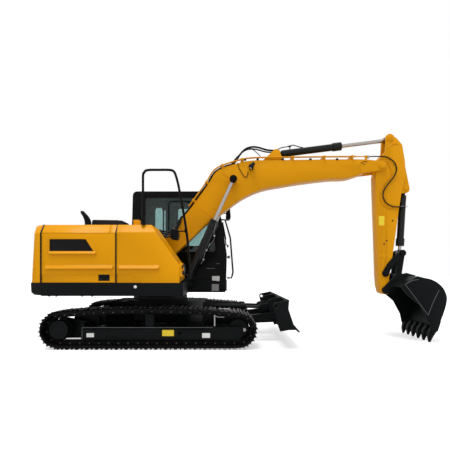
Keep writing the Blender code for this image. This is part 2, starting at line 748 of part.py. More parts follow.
def build_counterweight():
    """The cast weight behind the hood, its tail on one radius, and the dark foot under it."""
    for name, finish, levels in (
        ("counterweight", "machine_orange", WEIGHT_LEVELS),
        ("counterweight_foot", "dark_grey", FOOT_LEVELS),
    ):
        node(name, finish, lofted([(height, tail_plan(side, tail)) for height, side, tail in levels]))


# Forms pressed in the right side's panels, seen from the side
LOUVRE = ((-1.687, 1.691), (-0.932, 1.691), (-1.064, 1.896), (-1.687, 1.896))
LOUVRE_SLATS = 6
RIB_Z = (1.38, 1.395, 1.443, 1.458)
RIB_X = (-1.757, 0.195)
HANDLE_X = (-0.855, -0.658)
HANDLE_Z = (1.179, 1.290)
BAND_TOP = 1.287
BAND_FRONT = (-0.25, -0.119)
PRESS_DEPTH = 0.007


def pressed_rib(x_range):
    """The raised rib along the right side between two places."""
    outer = -HALF_WIDTH
    low, rise, fall, high = RIB_Z
    section = [
        (outer + 0.005, low), (outer - PRESS_DEPTH, rise), (outer - PRESS_DEPTH, fall),
        (outer + 0.005, high),
    ]
    return prism(section, *x_range, "X")


def pressed_band(outline):
    """A cut of the panels' pressing depth into the right side."""
    return prism(outline, -HALF_WIDTH - 0.05, -HALF_WIDTH + PRESS_DEPTH)


def build_tank_cover():
    """The closed box over the tanks on the right, with its sloping front, filler and front lamp."""
    rear = HOOD_MIDDLE + 0.004
    side = [
        (rear, DECK_TOP + SEAT_GAP), (HOOD_FRONT, DECK_TOP + SEAT_GAP), (HOOD_FRONT, SLOPE_FOOT_Z),
        (SLOPE_TOP_X, HOOD_TOP), (rear, HOOD_TOP),
    ]
    outer = -HALF_WIDTH
    filler = block((-0.32, -0.215), (outer + 0.27, outer + 0.40), (HOOD_TOP - 0.01, HOOD_TOP + 0.11))
    lamp = prism(
        rounded(
            [
                (HOOD_FRONT - 0.01, 1.25, 0), (0.60, 1.25, 0.02), (0.615, 1.40, 0.03), (0.575, 1.49, 0.02),
                (HOOD_FRONT - 0.01, 1.49, 0),
            ]
        ),
        outer + 0.02,
        outer + 0.25,
    )
    edge = [
        (outer - 0.01, HOOD_EDGE), (outer - 0.01, HOOD_TOP + 0.01), (outer + HOOD_EDGE_IN, HOOD_TOP + 0.01),
    ]
    cuts = [prism(edge, HOOD_MIDDLE - 1, HOOD_FRONT + 1, "X")]
    cuts.append(
        pressed_band(
            [
                (rear - 0.1, 1.0), (BAND_FRONT[1], 1.0), (BAND_FRONT[1], DECK_TOP),
                (BAND_FRONT[0], BAND_TOP), (rear - 0.1, BAND_TOP),
            ]
        )
    )
    body = fused([prism(side, outer, TANK_INNER)], cuts)
    node("tank_cover", "machine_orange", fused([body, pressed_rib((rear + 0.01, RIB_X[1])), filler, lamp]))


def hood_section(low):
    """The roof sheet of the engine's bay across the machine, with its sloping edges."""
    outer, inner = HALF_WIDTH, HALF_WIDTH - HOOD_EDGE_IN
    return [
        (-outer, low), (-inner, HOOD_TOP), (inner, HOOD_TOP), (outer, low),
        (outer - PANEL, low), (inner - 0.02, HOOD_TOP - PANEL), (-inner + 0.02, HOOD_TOP - PANEL),
        (-outer + PANEL, low),
    ]


def build_hood():
    """The lid over the engine, its two side doors, and the fixed frame that they close on."""
    rear = HOOD_REAR + RUN_GAP
    front = HOOD_MIDDLE - RUN_GAP / 2
    section = hood_section(HOOD_EDGE + RUN_GAP / 2)
    cab_side_y = CAB_RIGHT - 0.03
    cab_room = block(
        (CAB_REAR - 0.06, 0), (cab_side_y, HALF_WIDTH + 0.1), (HOOD_EDGE - 0.1, HOOD_TOP + 0.1),
    )
    lid_cut = block(
        (LID_FRONT - RUN_GAP, 0), (-HALF_WIDTH - 0.1, cab_side_y + 0.1), (HOOD_EDGE - 0.1, HOOD_TOP + 0.1),
    )
    box = rounded(
        [
            (-1.337, HOOD_TOP - 0.01, 0), (-0.69, HOOD_TOP - 0.01, 0), (-0.69, 2.35, 0.05),
            (-1.32, 2.366, 0.04),
        ]
    )
    lid = [fused([prism(section, rear, front, "X")], [cab_room, lid_cut])]
    lid.append(prism(box, -0.25, cab_side_y - 0.05))
    frame = [
        fused(
            [prism(section, LID_FRONT + SIDE_GAP, front, "X")],
            [block((-1, 0), (cab_side_y, HALF_WIDTH + 0.1), (1.5, 2.5))],
        )
    ]
    tongue_z = (HOOD_TOP - PANEL + 0.001, HOOD_TOP - 0.02)
    frame.append(
        block(
            (front - 0.02, HOOD_MIDDLE + 0.004 - SEAT_GAP), (-HALF_WIDTH + 0.2, TANK_INNER - 0.02),
            tongue_z,
        )
    )
    hinge = (LID_FRONT, HOOD_TOP + HINGE_RADIUS)
    for y in (-0.8, 0.08):
        lid.append(
            block((LID_FRONT - 0.06, LID_FRONT), (y, y + 0.06), (HOOD_TOP - 0.005, HOOD_TOP + 0.006))
        )
        lid.append(pin_across(hinge, (y, y + 0.06), HINGE_RADIUS, 8))
        outer = (y + 0.06 + SEAT_GAP, y + 0.12)
        frame.append(block((LID_FRONT, LID_FRONT + 0.06), outer, (HOOD_TOP - 0.005, HOOD_TOP + 0.006)))
        frame.append(pin_across(hinge, outer, HINGE_RADIUS, 8))
    node("engine_hood", "machine_orange", fused(lid), (hinge[0], 0, hinge[1]))
    node("hood_frame", "machine_orange", fused(frame))
    door_z = (DECK_TOP + RUN_GAP, HOOD_EDGE - RUN_GAP / 2)
    build_right_door((rear, front), front - HINGE_RADIUS, door_z)
    build_side_door("door_left", (rear, CAB_REAR - 0.06), 1, rear + HINGE_RADIUS, door_z)
    inner = PANEL + RUN_GAP
    top = HOOD_TOP - PANEL - RUN_GAP
    slope = HOOD_EDGE_IN + PANEL
    wall = [
        (-HALF_WIDTH + inner, DECK_TOP + SEAT_GAP), (HALF_WIDTH - inner, DECK_TOP + SEAT_GAP),
        (HALF_WIDTH - inner, HOOD_EDGE - 0.02), (HALF_WIDTH - slope, top), (-HALF_WIDTH + slope, top),
        (-HALF_WIDTH + inner, HOOD_EDGE - 0.02),
    ]
    node("bulkhead", "dark_grey", prism(wall, CAB_REAR - 0.10, CAB_REAR - 0.07, "X"))


def build_right_door(x_range, hinge_x, z_range):
    """The right side door with its louvre, its rib and its handle's pocket."""
    outer = -HALF_WIDTH
    louvre = list(LOUVRE)
    base, top = louvre[0][1], louvre[2][1]
    pitch = (top - base) / LOUVRE_SLATS
    slats = []
    for index in range(LOUVRE_SLATS):
        z = base + pitch * (index + 0.5)
        end = louvre[1][0] + (louvre[2][0] - louvre[1][0]) * (z - base) / (top - base)
        slats.append(
            block(
                (louvre[0][0] - 0.005, end + 0.005), (outer + 0.004, outer + 0.022), (z - 0.006, z + 0.006),
            )
        )
    border = prism(inset_outline(louvre, -0.03), outer - PRESS_DEPTH, outer + 0.01)
    hollow = prism(louvre, outer - 0.05, outer + 0.02)
    pocket = block(HANDLE_X, (outer - 0.05, outer + 0.025), HANDLE_Z)
    band = pressed_band(
        [
            (x_range[0] - 0.1, 1.0), (x_range[1] + 0.1, 1.0), (x_range[1] + 0.1, BAND_TOP),
            (x_range[0] - 0.1, BAND_TOP),
        ]
    )
    forms = [border, pressed_rib((RIB_X[0], x_range[1] - 0.03))]
    build_side_door("door_right", x_range, -1, hinge_x, z_range, forms, [hollow, pocket, band], slats)


def build_side_door(name, x_range, side, hinge_x, z_range, forms=(), cuts=(), slats=()):
    """A side door of the engine's bay, turning on a pin that stands on the frame."""
    outer = side * HALF_WIDTH
    panel = block(x_range, (outer, outer - side * PANEL), z_range)
    hinge_y = outer - side * HINGE_RADIUS
    base = DECK_TOP + SEAT_GAP
    pin = turned((hinge_x, hinge_y, base), (0, 0, 1), [(0, HINGE_RADIUS), (0.05, HINGE_RADIUS)], 8)
    plate = fused([panel, pin] + list(forms), list(cuts))
    node(name, "machine_orange", fused([plate] + list(slats)), (hinge_x, hinge_y, 0))


def build_engine():
    """One plain block for the engine, lengthways across the bay."""
    node("engine_block", "bare_iron", block((-1.55, -0.95), (-0.55, 0.60), (DECK_TOP + SEAT_GAP, 1.85)))


# Exhaust stack: how far it leans to the rear, height over the hood, radius
EXHAUST_RINGS = (
    (0.0, 0.0, 0.075), (0.0, 0.04, 0.075), (0.0, 0.05, 0.062), (0.0, 0.12, 0.062),
    (0.015, 0.18, 0.06), (0.045, 0.24, 0.056), (0.085, 0.29, 0.05), (0.115, 0.34, 0.03),
)


def build_exhaust():
    """The tail pipe on the hood, bent to the rear at its mouth."""
    base = HOOD_TOP + SEAT_GAP
    ring = arc((0, 0), 1, 0, 330, 11)
    levels = []
    for lean, rise, radius in EXHAUST_RINGS:
        levels.append(
            (base + rise, [(EXHAUST_X - lean + radius * u, EXHAUST_Y + radius * v) for u, v in ring])
        )
    node("exhaust_stack", "cab_black", lofted(levels))


# Side view of the cab's front edge: foot, widest point, brow and roof
CAB_FRONT_FOOT = (1.345, CAB_FLOOR)
CAB_FRONT_LOW = (1.36, 1.70)
CAB_FRONT_BROW = (1.245, 2.435)
CAB_FRONT_ROOF = (1.135, CAB_TOP)


def cab_front_x(z):
    """How far forward the cab reaches at a height below its brow."""
    low, high = (CAB_FRONT_LOW, CAB_FRONT_BROW) if z > CAB_FRONT_LOW[1] else (CAB_FRONT_FOOT, CAB_FRONT_LOW)
    return low[0] + (high[0] - low[0]) * (z - low[1]) / (high[1] - low[1])


def cab_side(inset):
    """Side view of the cab, each wall moved in by the inset."""
    return rounded(
        [
            (CAB_REAR + inset, CAB_FLOOR + inset, 0),
            (CAB_FRONT_FOOT[0] - inset, CAB_FLOOR + inset, 0.03),
            (CAB_FRONT_LOW[0] - inset, CAB_FRONT_LOW[1], 0),
            (CAB_FRONT_BROW[0] - inset, CAB_FRONT_BROW[1], 0),
            (CAB_FRONT_ROOF[0] - inset, CAB_TOP - inset, 0.09),
            (CAB_REAR + 0.05 + inset, CAB_TOP - inset, 0.09),
        ]
    )


def window(corners, radius=0.07):
    """A window outline with rounded corners."""
    return rounded([(u, v, radius) for u, v in corners])


RIGHT_WINDOW = ((-0.38, 1.75), (1.12, 1.75), (1.06, 2.60), (0.98, 2.90), (-0.38, 2.90))
DOOR_OPENING = (
    (DOOR_HINGE_X, 1.25), (1.10, 1.25), (1.16, 1.70), (1.06, 2.50), (0.97, 2.93), (DOOR_HINGE_X, 2.93),
)
DOOR_WINDOW = ((0.19, 1.60), (1.02, 1.60), (0.96, 2.50), (0.88, 2.84), (0.19, 2.84))
QUARTER_WINDOW = ((-0.50, 1.90), (-0.10, 1.90), (-0.10, 2.86), (-0.50, 2.86))


def inset_outline(outline, gap):
    """The outline moved inwards by the gap at every edge."""
    count = len(outline)
    pairs = zip(outline, list(outline[1:]) + [outline[0]])
    area = sum(start[0] * end[1] - end[0] * start[1] for start, end in pairs)
    turn = 1 if area > 0 else -1
    moved = []
    for index in range(count):
        here = Vector(outline[index])
        before = (here - Vector(outline[index - 1])).normalized()
        after = (Vector(outline[(index + 1) % count]) - here).normalized()
        first = Vector((-before.y, before.x)) * turn
        second = Vector((-after.y, after.x)) * turn
        bisector = (first + second).normalized()
        moved.append(tuple(here + bisector * gap / max(bisector.dot(first), 0.2)))
    return moved


def build_cab():
    """The hollow cab with its windows cut, its glass and its door."""
    left, right = HALF_WIDTH, CAB_RIGHT
    shell = prism(cab_side(0), right, left)
    room = prism(cab_side(CAB_WALL), right + CAB_WALL, left - CAB_WALL)
    side_window = window(RIGHT_WINDOW)
    opening = window(DOOR_OPENING, 0.05)
    quarter = window(QUARTER_WINDOW, 0.05)
    front_window = window(
        [(right + 0.07, 1.45), (left - 0.07, 1.45), (left - 0.07, 2.88), (right + 0.07, 2.88)], 0,
    )
    rear_window = window(
        [(right + 0.12, 2.2), (left - 0.12, 2.2), (left - 0.12, 2.86), (right + 0.12, 2.86)], 0.05,
    )
    cuts = [
        room,
        prism(side_window, right - 0.1, right + CAB_WALL + 0.1),
        prism(opening, left - CAB_WALL - 0.1, left + 0.1),
        prism(quarter, left - CAB_WALL - 0.1, left + 0.1),
        prism(front_window, 0.9, 1.6, "X"),
        prism(rear_window, CAB_REAR - 0.2, CAB_REAR + 0.2, "X"),
    ]
    hinge_y = left + HINGE_OUT
    shell_hinges, door_hinges = [], []
    for z in (1.45, 2.65):
        door_span, shell_span = (z, z + 0.08), (z + 0.08 + SEAT_GAP, z + 0.16)
        for hinges, (low, high), lean in ((door_hinges, door_span, 1), (shell_hinges, shell_span, -1)):
            height = [(0, HINGE_RADIUS), (high - low, HINGE_RADIUS)]
            hinges.append(turned((DOOR_HINGE_X, hinge_y, low), (0, 0, 1), height, 8))
            leaf_x = sorted((DOOR_HINGE_X + lean * 0.001, DOOR_HINGE_X + lean * 0.06))
            hinges.append(block(leaf_x, (left - 0.01, hinge_y), (low, high)))
    node("cab_shell", "cab_black", fused([fused([shell], cuts)] + shell_hinges))
    pane = inset_outline(side_window, SEAT_GAP)
    node("glass_right", "tinted_glass", prism(pane, right + 0.01, right + 0.01 + GLASS))
    leaf = inset_outline(opening, RUN_GAP)
    hole = window(DOOR_WINDOW)
    axis = (DOOR_HINGE_X, hinge_y, 0)
    door = fused([prism(leaf, left - CAB_WALL, left)] + door_hinges, [prism(hole, left - 0.2, left + 0.2)])
    node("cab_door", "cab_black", door, axis)
    node(
        "glass_door", "tinted_glass",
        prism(inset_outline(hole, SEAT_GAP), left - 0.03, left - 0.03 + GLASS), axis,
    )
    node(
        "glass_quarter", "tinted_glass",
        prism(inset_outline(quarter, SEAT_GAP), left - 0.03, left - 0.03 + GLASS),
    )
    outer = cab_side(0.012)
    inner = cab_side(0.012 + GLASS)
    pane_front = fused(
        [prism(outer, right + 0.07 + SEAT_GAP, left - 0.07 - SEAT_GAP)],
        [
            prism(inner, right, left),
            block((-1, 0.95), (right, left), (1, 3.2)),
            block((0, 2), (right, left), (1.0, 1.45 + SEAT_GAP)),
            block((0, 2), (right, left), (2.88 - SEAT_GAP, 3.4)),
        ],
    )
    node("glass_front", "tinted_glass", pane_front)
    node(
        "glass_rear", "tinted_glass",
        prism(inset_outline(rear_window, SEAT_GAP), CAB_REAR + 0.03, CAB_REAR + 0.03 + GLASS, "X"),
    )


def build_cab_inside():
    """The operator's seat and the console in front of it."""
    console = CAB_RIGHT + CAB_WALL + SEAT_GAP
    middle = console + CONSOLE_WIDTH + 0.27
    floor = CAB_FLOOR + CAB_WALL + SEAT_GAP
    base = block((0.0, 0.4), (middle - 0.2, middle + 0.2), (floor, floor + 0.25))
    cushion = prism(
        rounded(
            [
                (-0.05, floor + 0.24, 0.03), (0.5, floor + 0.24, 0.03), (0.52, floor + 0.38, 0.05),
                (-0.05, floor + 0.36, 0.03),
            ]
        ),
        middle - 0.26, middle + 0.26,
    )
    back = prism(
        rounded(
            [
                (-0.02, floor + 0.3, 0.03), (0.12, floor + 0.3, 0.03), (-0.08, floor + 1.1, 0.05),
                (-0.2, floor + 1.08, 0.05),
            ]
        ),
        middle - 0.24, middle + 0.24,
    )
    node("operator_seat", "seat_fabric", fused([base, cushion, back]))
    solids = []
    desk = prism(
        rounded([(0.1, floor, 0), (0.5, floor, 0), (0.62, floor + 0.5, 0.05), (0.1, floor + 0.45, 0.05)]),
        console, console + CONSOLE_WIDTH,
    )
    solids.append(desk)
    solids.append(
        turned(
            (0.5, CAB_RIGHT + 0.12, floor + 0.45), (0.1, 0, 1),
            [(0, 0.02), (0.15, 0.02), (0.17, 0.03), (0.26, 0.025)], 8,
        )
    )
    node("control_console", "cab_black", fused(solids))


def build_rails():
    """The handrail on the right and the one beside the cab's front, with their mirrors."""
    y = -HALF_WIDTH + 0.07
    down = [
        (0.476, 3.04), (0.530, 2.746), (0.646, 2.081), (0.70, 1.571), (0.707, 1.339), (0.677, 1.246),
        (0.575, DECK_TOP + 0.04), (0.575, DECK_TOP + SEAT_GAP),
    ]
    path = [(-0.10, HOOD_TOP + SEAT_GAP), (-0.10, 3.05), (-0.06, 3.106), (0.40, 3.10)] + down
    rail = tube_along(in_plane(path, y), 0.018, 8)
    stay = tube_along([(0.50 + SEAT_GAP, y, 2.04), (0.56, y, 2.04), (0.655, y, 2.04)], 0.012, 8)
    node("handrail_right", "cab_black", fused([rail, stay]))
    node("mirror_right", "cab_black", block((0.40, 0.50), (y - 0.06, y + 0.14), (1.887, 2.077)))
    stalk_y, stalk_z = HALF_WIDTH - 0.035, 2.72
    stalk = tube_along(
        [(1.1, stalk_y, stalk_z), (1.3, stalk_y, stalk_z), (1.39, stalk_y - 0.02, stalk_z)], 0.012, 8,
    )
    clear = prism(cab_side(-SEAT_GAP), HALF_WIDTH - 0.2, HALF_WIDTH + 0.1)
    glass = rounded([(1.35, 2.56, 0.03), (1.43, 2.56, 0.03), (1.44, 2.82, 0.03), (1.36, 2.82, 0.03)])
    node(
        "mirror_left", "cab_black",
        fused([fused([stalk], [clear]), prism(glass, stalk_y - 0.20, stalk_y - 0.01)]),
    )
    front = CAB_RIGHT + 0.03
    bow = [(1.32, 2.44), (1.433, 2.05), (1.49, 1.324), (1.46, 1.197)]
    ends = [(cab_front_x(z - 0.014) + SEAT_GAP, z) for z in (bow[0][1], bow[-1][1])]
    grip = tube_along(in_plane([ends[0]] + bow + [(CAB_FRONT_LOW[0] + 0.001, ends[1][1])], front), 0.014, 8)
    node("handrail_cab", "cab_black", grip)


# Side view of the boom, relative to the slewing axis and the ground
BOOM_TOP_EDGE = (
    (4.30, 3.545), (3.92, 3.567), (2.42, 3.551), (1.848, 3.541), (1.568, 3.487), (1.26, 3.387),
    (1.108, 3.277), (1.006, 3.101), (0.648, 2.603), (0.38, 2.281),
)
BOOM_BOTTOM_EDGE = (
    (0.292, 1.665), (0.612, 1.959), (1.04, 2.377), (1.26, 2.507), (1.64, 2.787), (2.052, 2.977),
    (2.46, 3.057), (2.82, 3.117), (3.42, 3.191), (3.78, 3.207), (4.058, 3.293),
)


def build_boom():
    """The box-section boom with its foot, its fork, its cylinder bosses and the ears on its top."""
    foot = arc(BOOM_FOOT, 0.13, 150, 290, 8)
    tip = arc(ARM_PIN, 0.1, -80, 80, 8)
    side = smooth(BOOM_TOP_EDGE) + foot + smooth(BOOM_BOTTOM_EDGE) + tip
    body = prism(side, at_boom(-BOOM_HALF), at_boom(BOOM_HALF))
    fork = ARM_HALF + SIDE_GAP
    slot = block((ARM_PIN[0] - 0.33, ARM_PIN[0] + 0.5), (at_boom(-fork), at_boom(fork)), (3.0, 4.0))
    solids = [body]
    reach = BOOM_CYL_OFFSET - BOOM_EYE_HALF - SEAT_GAP
    for side_sign in (-1, 1):
        solids.append(
            pin_across(
                BOOM_CYL_EYE, (at_boom(side_sign * (BOOM_HALF - 0.02)), at_boom(side_sign * reach)), 0.075,
                16,
            )
        )
        solids.append(
            pin_across(
                ARM_PIN,
                (at_boom(side_sign * (BOOM_HALF - 0.015)), at_boom(side_sign * (BOOM_HALF + 0.03))), 0.06,
                16,
            )
        )
    ear = [(2.05, 3.53), (2.50, 3.53)] + arc(ARM_CYL_FOOT, EAR_RADIUS, -10, 130, 6)
    for near, far in both_ways(EYE_HALF + SIDE_GAP, EAR_OUT):
        solids.append(prism(ear, near, far))
    node("boom", "machine_orange", fused(solids, [slot]), (BOOM_FOOT[0], BOOM_Y, BOOM_FOOT[1]))


PIPE_LIFT = 0.055
PIPE_RADIUS = 0.012
PIPE_PLACES = (0.128, 0.160)
PIPE_ENDS = (0.56, 4.08)
# Shares of the pipes' length where the clamps stand
CLAMP_SHARES = (0.04, 0.16, 0.28, 0.39, 0.66, 0.83, 0.98)
CLAMP_LENGTH = 0.05


def pipe_line():
    """The side view of the pipes: the boom's top edge, from its foot to its tip."""
    low, high = PIPE_ENDS
    inner = [point for point in reversed(smooth(BOOM_TOP_EDGE)) if low < point[0] < high]
    return [Vector(point) for point in inner]


def along_line(line, share):
    """The point and the unit tangent at a share of an open line's length."""
    lengths = [(end - start).length for start, end in zip(line, line[1:])]
    left = share * sum(lengths)
    for start, end, length in zip(line, line[1:], lengths):
        if left <= length:
            tangent = (end - start) / length
            return start + tangent * left, tangent
        left -= length
    return line[-1], (line[-1] - line[-2]).normalized()


def build_boom_pipes():
    """The rigid oil pipes along the boom's back, joined by their clamps."""
    line = pipe_line()
    raised, seat = [], []
    for index, point in enumerate(line):
        tangent = (line[min(index + 1, len(line) - 1)] - line[max(index - 1, 0)]).normalized()
        normal = Vector((-tangent.y, tangent.x))
        raised.append(point + normal * PIPE_LIFT)
        seat.append(tuple(point + normal * SEAT_GAP))
    low, high = seat[0], seat[-1]
    boom_back = prism(
        seat + [(high[0], high[1] - 0.3), (low[0] + 0.3, low[1] - 0.1)], at_boom(-0.2), at_boom(0.2),
    )
    solids, pads = [], []
    for place in PIPE_PLACES:
        for side in (-1, 1):
            solids.append(tube_along(in_plane(raised, at_boom(side * place)), PIPE_RADIUS, 8))
    for share in CLAMP_SHARES:
        point, tangent = along_line(line, share)
        normal = Vector((-tangent.y, tangent.x))
        half = tangent * CLAMP_LENGTH / 2
        foot = -0.01
        strap = [point - half + normal * 0.035, point + half + normal * 0.035]
        strap += [point + half + normal * 0.072, point - half + normal * 0.072]
        pad = [point - half + normal * foot, point + half + normal * foot]
        pad += [point + half + normal * 0.04, point - half + normal * 0.04]
        solids.append(prism([tuple(corner) for corner in strap], at_boom(-0.178), at_boom(0.178)))
        for near, far in both_ways(0.115, 0.145):
            pads.append(prism([tuple(corner) for corner in pad], near, far))
    node("boom_pipes", "machine_orange", fused(solids + [fused(pads, [boom_back])]))


def build_boom_lamp():
    """The work lamp on the boom's right side."""
    face = at_boom(-BOOM_HALF) - SEAT_GAP
    bracket = block((1.80, 1.85), (face - 0.05, face), (3.36, 3.40))
    lamp = turned((1.79, face - 0.06, 3.42), (1, 0, -0.3), [(0, 0.03), (0.03, 0.05), (0.1, 0.055)], 12)
    node("boom_lamp", "cab_black", fused([bracket, lamp]))


# Side view of the arm, relative to its pin on the boom
ARM_FRONT = ((0.102, 0.544), (0.088, 0.294), (-0.03, 0.146), (-0.104, -0.206), (-0.03, -2.36))
ARM_BACK = (
    (0.162, -2.25), (0.234, -1.78), (0.308, -1.25), (0.352, -0.898), (0.412, -0.53), (0.50, -0.162),
    (0.476, 0.118),
    (0.426, 0.426), (0.31, 0.56),
)


def build_arm():
    """The box-section arm with its ears for both cylinders and the bore of the rocker's pin."""
    eye = (ARM_CYL_EYE[0] - ARM_PIN[0], ARM_CYL_EYE[1] - ARM_PIN[1])
    nose = (BUCKET_PIN[0] - ARM_PIN[0], BUCKET_PIN[1] - ARM_PIN[1])
    side = list(ARM_FRONT) + arc(nose, 0.09, 185, 350, 8) + list(ARM_BACK) + arc(eye, 0.09, 20, 160, 6)
    outline = offset_from(ARM_PIN, side)
    body = prism(outline, at_boom(-ARM_HALF), at_boom(ARM_HALF))
    cleft = [(-0.2, 0.22), (0.7, 0.22), (0.7, 1.0), (-0.2, 1.0)]
    cuts = [prism(offset_from(ARM_PIN, cleft), at_boom(-EYE_HALF - SIDE_GAP), at_boom(EYE_HALF + SIDE_GAP))]
    cuts.append(pin_across(ROCKER_PIN, (at_boom(-0.5), at_boom(0.5)), 0.034, 16))
    solids = [body]
    foot = (BUCKET_CYL_FOOT[0] - ARM_PIN[0], BUCKET_CYL_FOOT[1] - ARM_PIN[1])
    ear = offset_from(
        ARM_PIN, [(0.38, -0.54)] + arc(foot, EAR_RADIUS, -100, 15, 5) + [(0.49, 0.0), (0.42, 0.0)],
    )
    for near, far in both_ways(EYE_HALF + SIDE_GAP, EAR_OUT):
        solids.append(prism(ear, near, far))
    node("arm", "machine_orange", fused(solids, cuts), (ARM_PIN[0], BOOM_Y, ARM_PIN[1]))


def banana(first, last, width, bulge, steps=5):
    """A curved link plate between two pins, bowed to one side."""
    a, b = Vector(first), Vector(last)
    line = (b - a).normalized()
    across = Vector((line.y, -line.x))
    angle = math.degrees(math.atan2(line.y, line.x))
    upper, lower = [], []
    for step in range(1, steps):
        share = step / steps
        bow = bulge * 4 * share * (1 - share)
        middle = a.lerp(b, share) + across * bow
        upper.append(tuple(middle - across * width))
        lower.append(tuple(middle + across * width))
    return arc(
        first, width + 0.012, angle + 90, angle + 270, 6,
    ) + lower + arc(last, width + 0.012, angle - 90, angle + 90, 6) + list(reversed(upper))


def build_rocker():
    """Two curved plates outside the arm, joined by the pin through it, with stubs for the link."""
    plate = banana(ROCKER_PIN, LINK_PIN, 0.058, -0.04)
    solids = []
    inner = ARM_HALF + SIDE_GAP
    for near, far in both_ways(inner, inner + ROCKER_PLATE):
        solids.append(prism(plate, near, far))
    solids.append(pin_across(ROCKER_PIN, (at_boom(-inner - 0.01), at_boom(inner + 0.01)), 0.03, 16))
    for side in (-1, 1):
        solids.append(
            pin_across(LINK_PIN, (at_boom(side * 0.085), at_boom(side * (inner + 0.01))), 0.025, 16)
        )
        solids.append(
            pin_across(
                LINK_PIN, (at_boom(side * (inner + 0.01)), at_boom(side * (inner + ROCKER_PLATE + 0.015))),
                0.035, 12,
            )
        )
    node("bucket_rocker", "dark_grey", fused(solids), (ROCKER_PIN[0], BOOM_Y, ROCKER_PIN[1]))


def build_link():
    """The link from the rocker's end to the bucket: two plates joined at the bucket's end."""
    a, b = Vector(LINK_PIN), Vector(BUCKET_LINK_PIN)
    angle = math.degrees(math.atan2(b.y - a.y, b.x - a.x))
    plate = arc(LINK_PIN, 0.055, angle + 90, angle + 270, 6) + arc(
        BUCKET_LINK_PIN, 0.055, angle - 90, angle + 90, 6,
    )
    solids = [prism(plate, near, far) for near, far in both_ways(EYE_HALF + SIDE_GAP, ARM_HALF)]
    solids.append(pin_across(BUCKET_LINK_PIN, (at_boom(-ARM_HALF), at_boom(ARM_HALF)), 0.05, 16))
    bore = pin_across(LINK_PIN, (at_boom(-0.5), at_boom(0.5)), 0.028, 16)
    node("bucket_link", "dark_grey", fused(solids, [bore]), (LINK_PIN[0], BOOM_Y, LINK_PIN[1]))


# Side view of the bucket's shell, from the top edge round the back to the lip
BUCKET_OUTSIDE = (
    (4.93, 1.25), (5.056, 1.22), (5.18, 1.195), (5.306, 1.13), (5.41, 1.03), (5.468, 0.91), (5.48, 0.80),
    (5.44, 0.62),
    (5.36, 0.40),
)
BUCKET_LIP = (5.27, 0.21)
BUCKET_MOUTH = ((5.19, 0.26), (5.13, 0.42), (4.98, 0.70), (4.74, 0.90), (4.62, 1.05))
# Side view of a side cutter at the lip's corner
SIDE_CUTTER = ((5.13, 0.46), (5.22, 0.52), (5.36, 0.40), (5.30, 0.22), (5.20, 0.17), (5.17, 0.26))
# A tooth from its root to its tip: height, rear edge, front edge, half width
TOOTH_LEVELS = (
    (0.31, 5.24, 5.31, 0.045), (0.20, 5.17, 5.29, 0.045), (0.11, 5.155, 5.235, 0.038),
    (0.006, 5.17, 5.19, 0.022),
)


def build_bucket():
    """The bucket: side plates, wrapped shell, lip with teeth, and ears on the arm's nose."""
    outside = smooth(BUCKET_OUTSIDE, 2)
    closed = outside + [BUCKET_LIP] + list(BUCKET_MOUTH)
    body = prism(closed, at_boom(-BUCKET_HALF), at_boom(BUCKET_HALF))
    hollow = inset_outline(closed, 0.03)[:len(outside) + 1]
    front = [(5.19, 0.15), (5.05, 0.42), (4.95, 0.65), (4.70, 0.85), (4.55, 1.00)]
    room = prism(hollow + front, at_boom(-BUCKET_HALF + 0.025), at_boom(BUCKET_HALF - 0.025))
    solids = [body]
    ears = []
    pin = BUCKET_PIN
    plate = arc(pin, 0.075, 110, 300, 8) + [(4.80, 0.98), (5.12, 1.20), (5.10, 1.26), (4.93, 1.31)]
    plate += arc(BUCKET_LINK_PIN, 0.065, 30, 150, 6)
    for near, far in both_ways(ARM_HALF + SIDE_GAP, ARM_HALF + SIDE_GAP + BUCKET_EAR):
        ears.append(prism(plate, near, far))
    gap = 2 * (BUCKET_HALF - 0.06) / (TOOTH_COUNT - 1)
    teeth = []
    for index in range(TOOTH_COUNT):
        y = at_boom(-BUCKET_HALF + 0.06 + gap * index)
        levels = []
        for height, rear, fore, half in TOOTH_LEVELS:
            levels.append(
                (height, [(rear, y - half), (fore, y - half), (fore, y + half), (rear, y + half)])
            )
        teeth.append(lofted(levels))
    for near, far in both_ways(BUCKET_HALF - 0.01, BUCKET_HALF + 0.015):
        ears.append(prism(SIDE_CUTTER, near, far))
    shell = fused(solids, [room])
    node("bucket", "cab_black", fused([shell] + ears + teeth), (BUCKET_PIN[0], BOOM_Y, BUCKET_PIN[1]))


def build_undercarriage():
    """Everything below the slewing ring."""
    build_car_body()
    build_slew_ring()
    for name, side in (("right", -1), ("left", 1)):
        build_track("track_" + name, side)
        build_track_frame("track_frame_" + name, side)
        build_sprocket("sprocket_" + name, side)
        build_idler("idler_" + name, side)
        middle = side * BLADE_CYL_Y
        build_cylinder(
            "blade_cylinder_" + name, BLADE_FOOT, BLADE_EYE, middle, BLADE_CYLINDER, EYE_HALF, "dark_grey",
            0.05,
        )
    build_blade()


def build_upper():
    """The revolving upper structure with the cab."""
    build_main_deck()
    build_counterweight()
    build_tank_cover()
    build_hood()
    build_engine()
    build_exhaust()
    build_cab()
    build_cab_inside()
    build_rails()


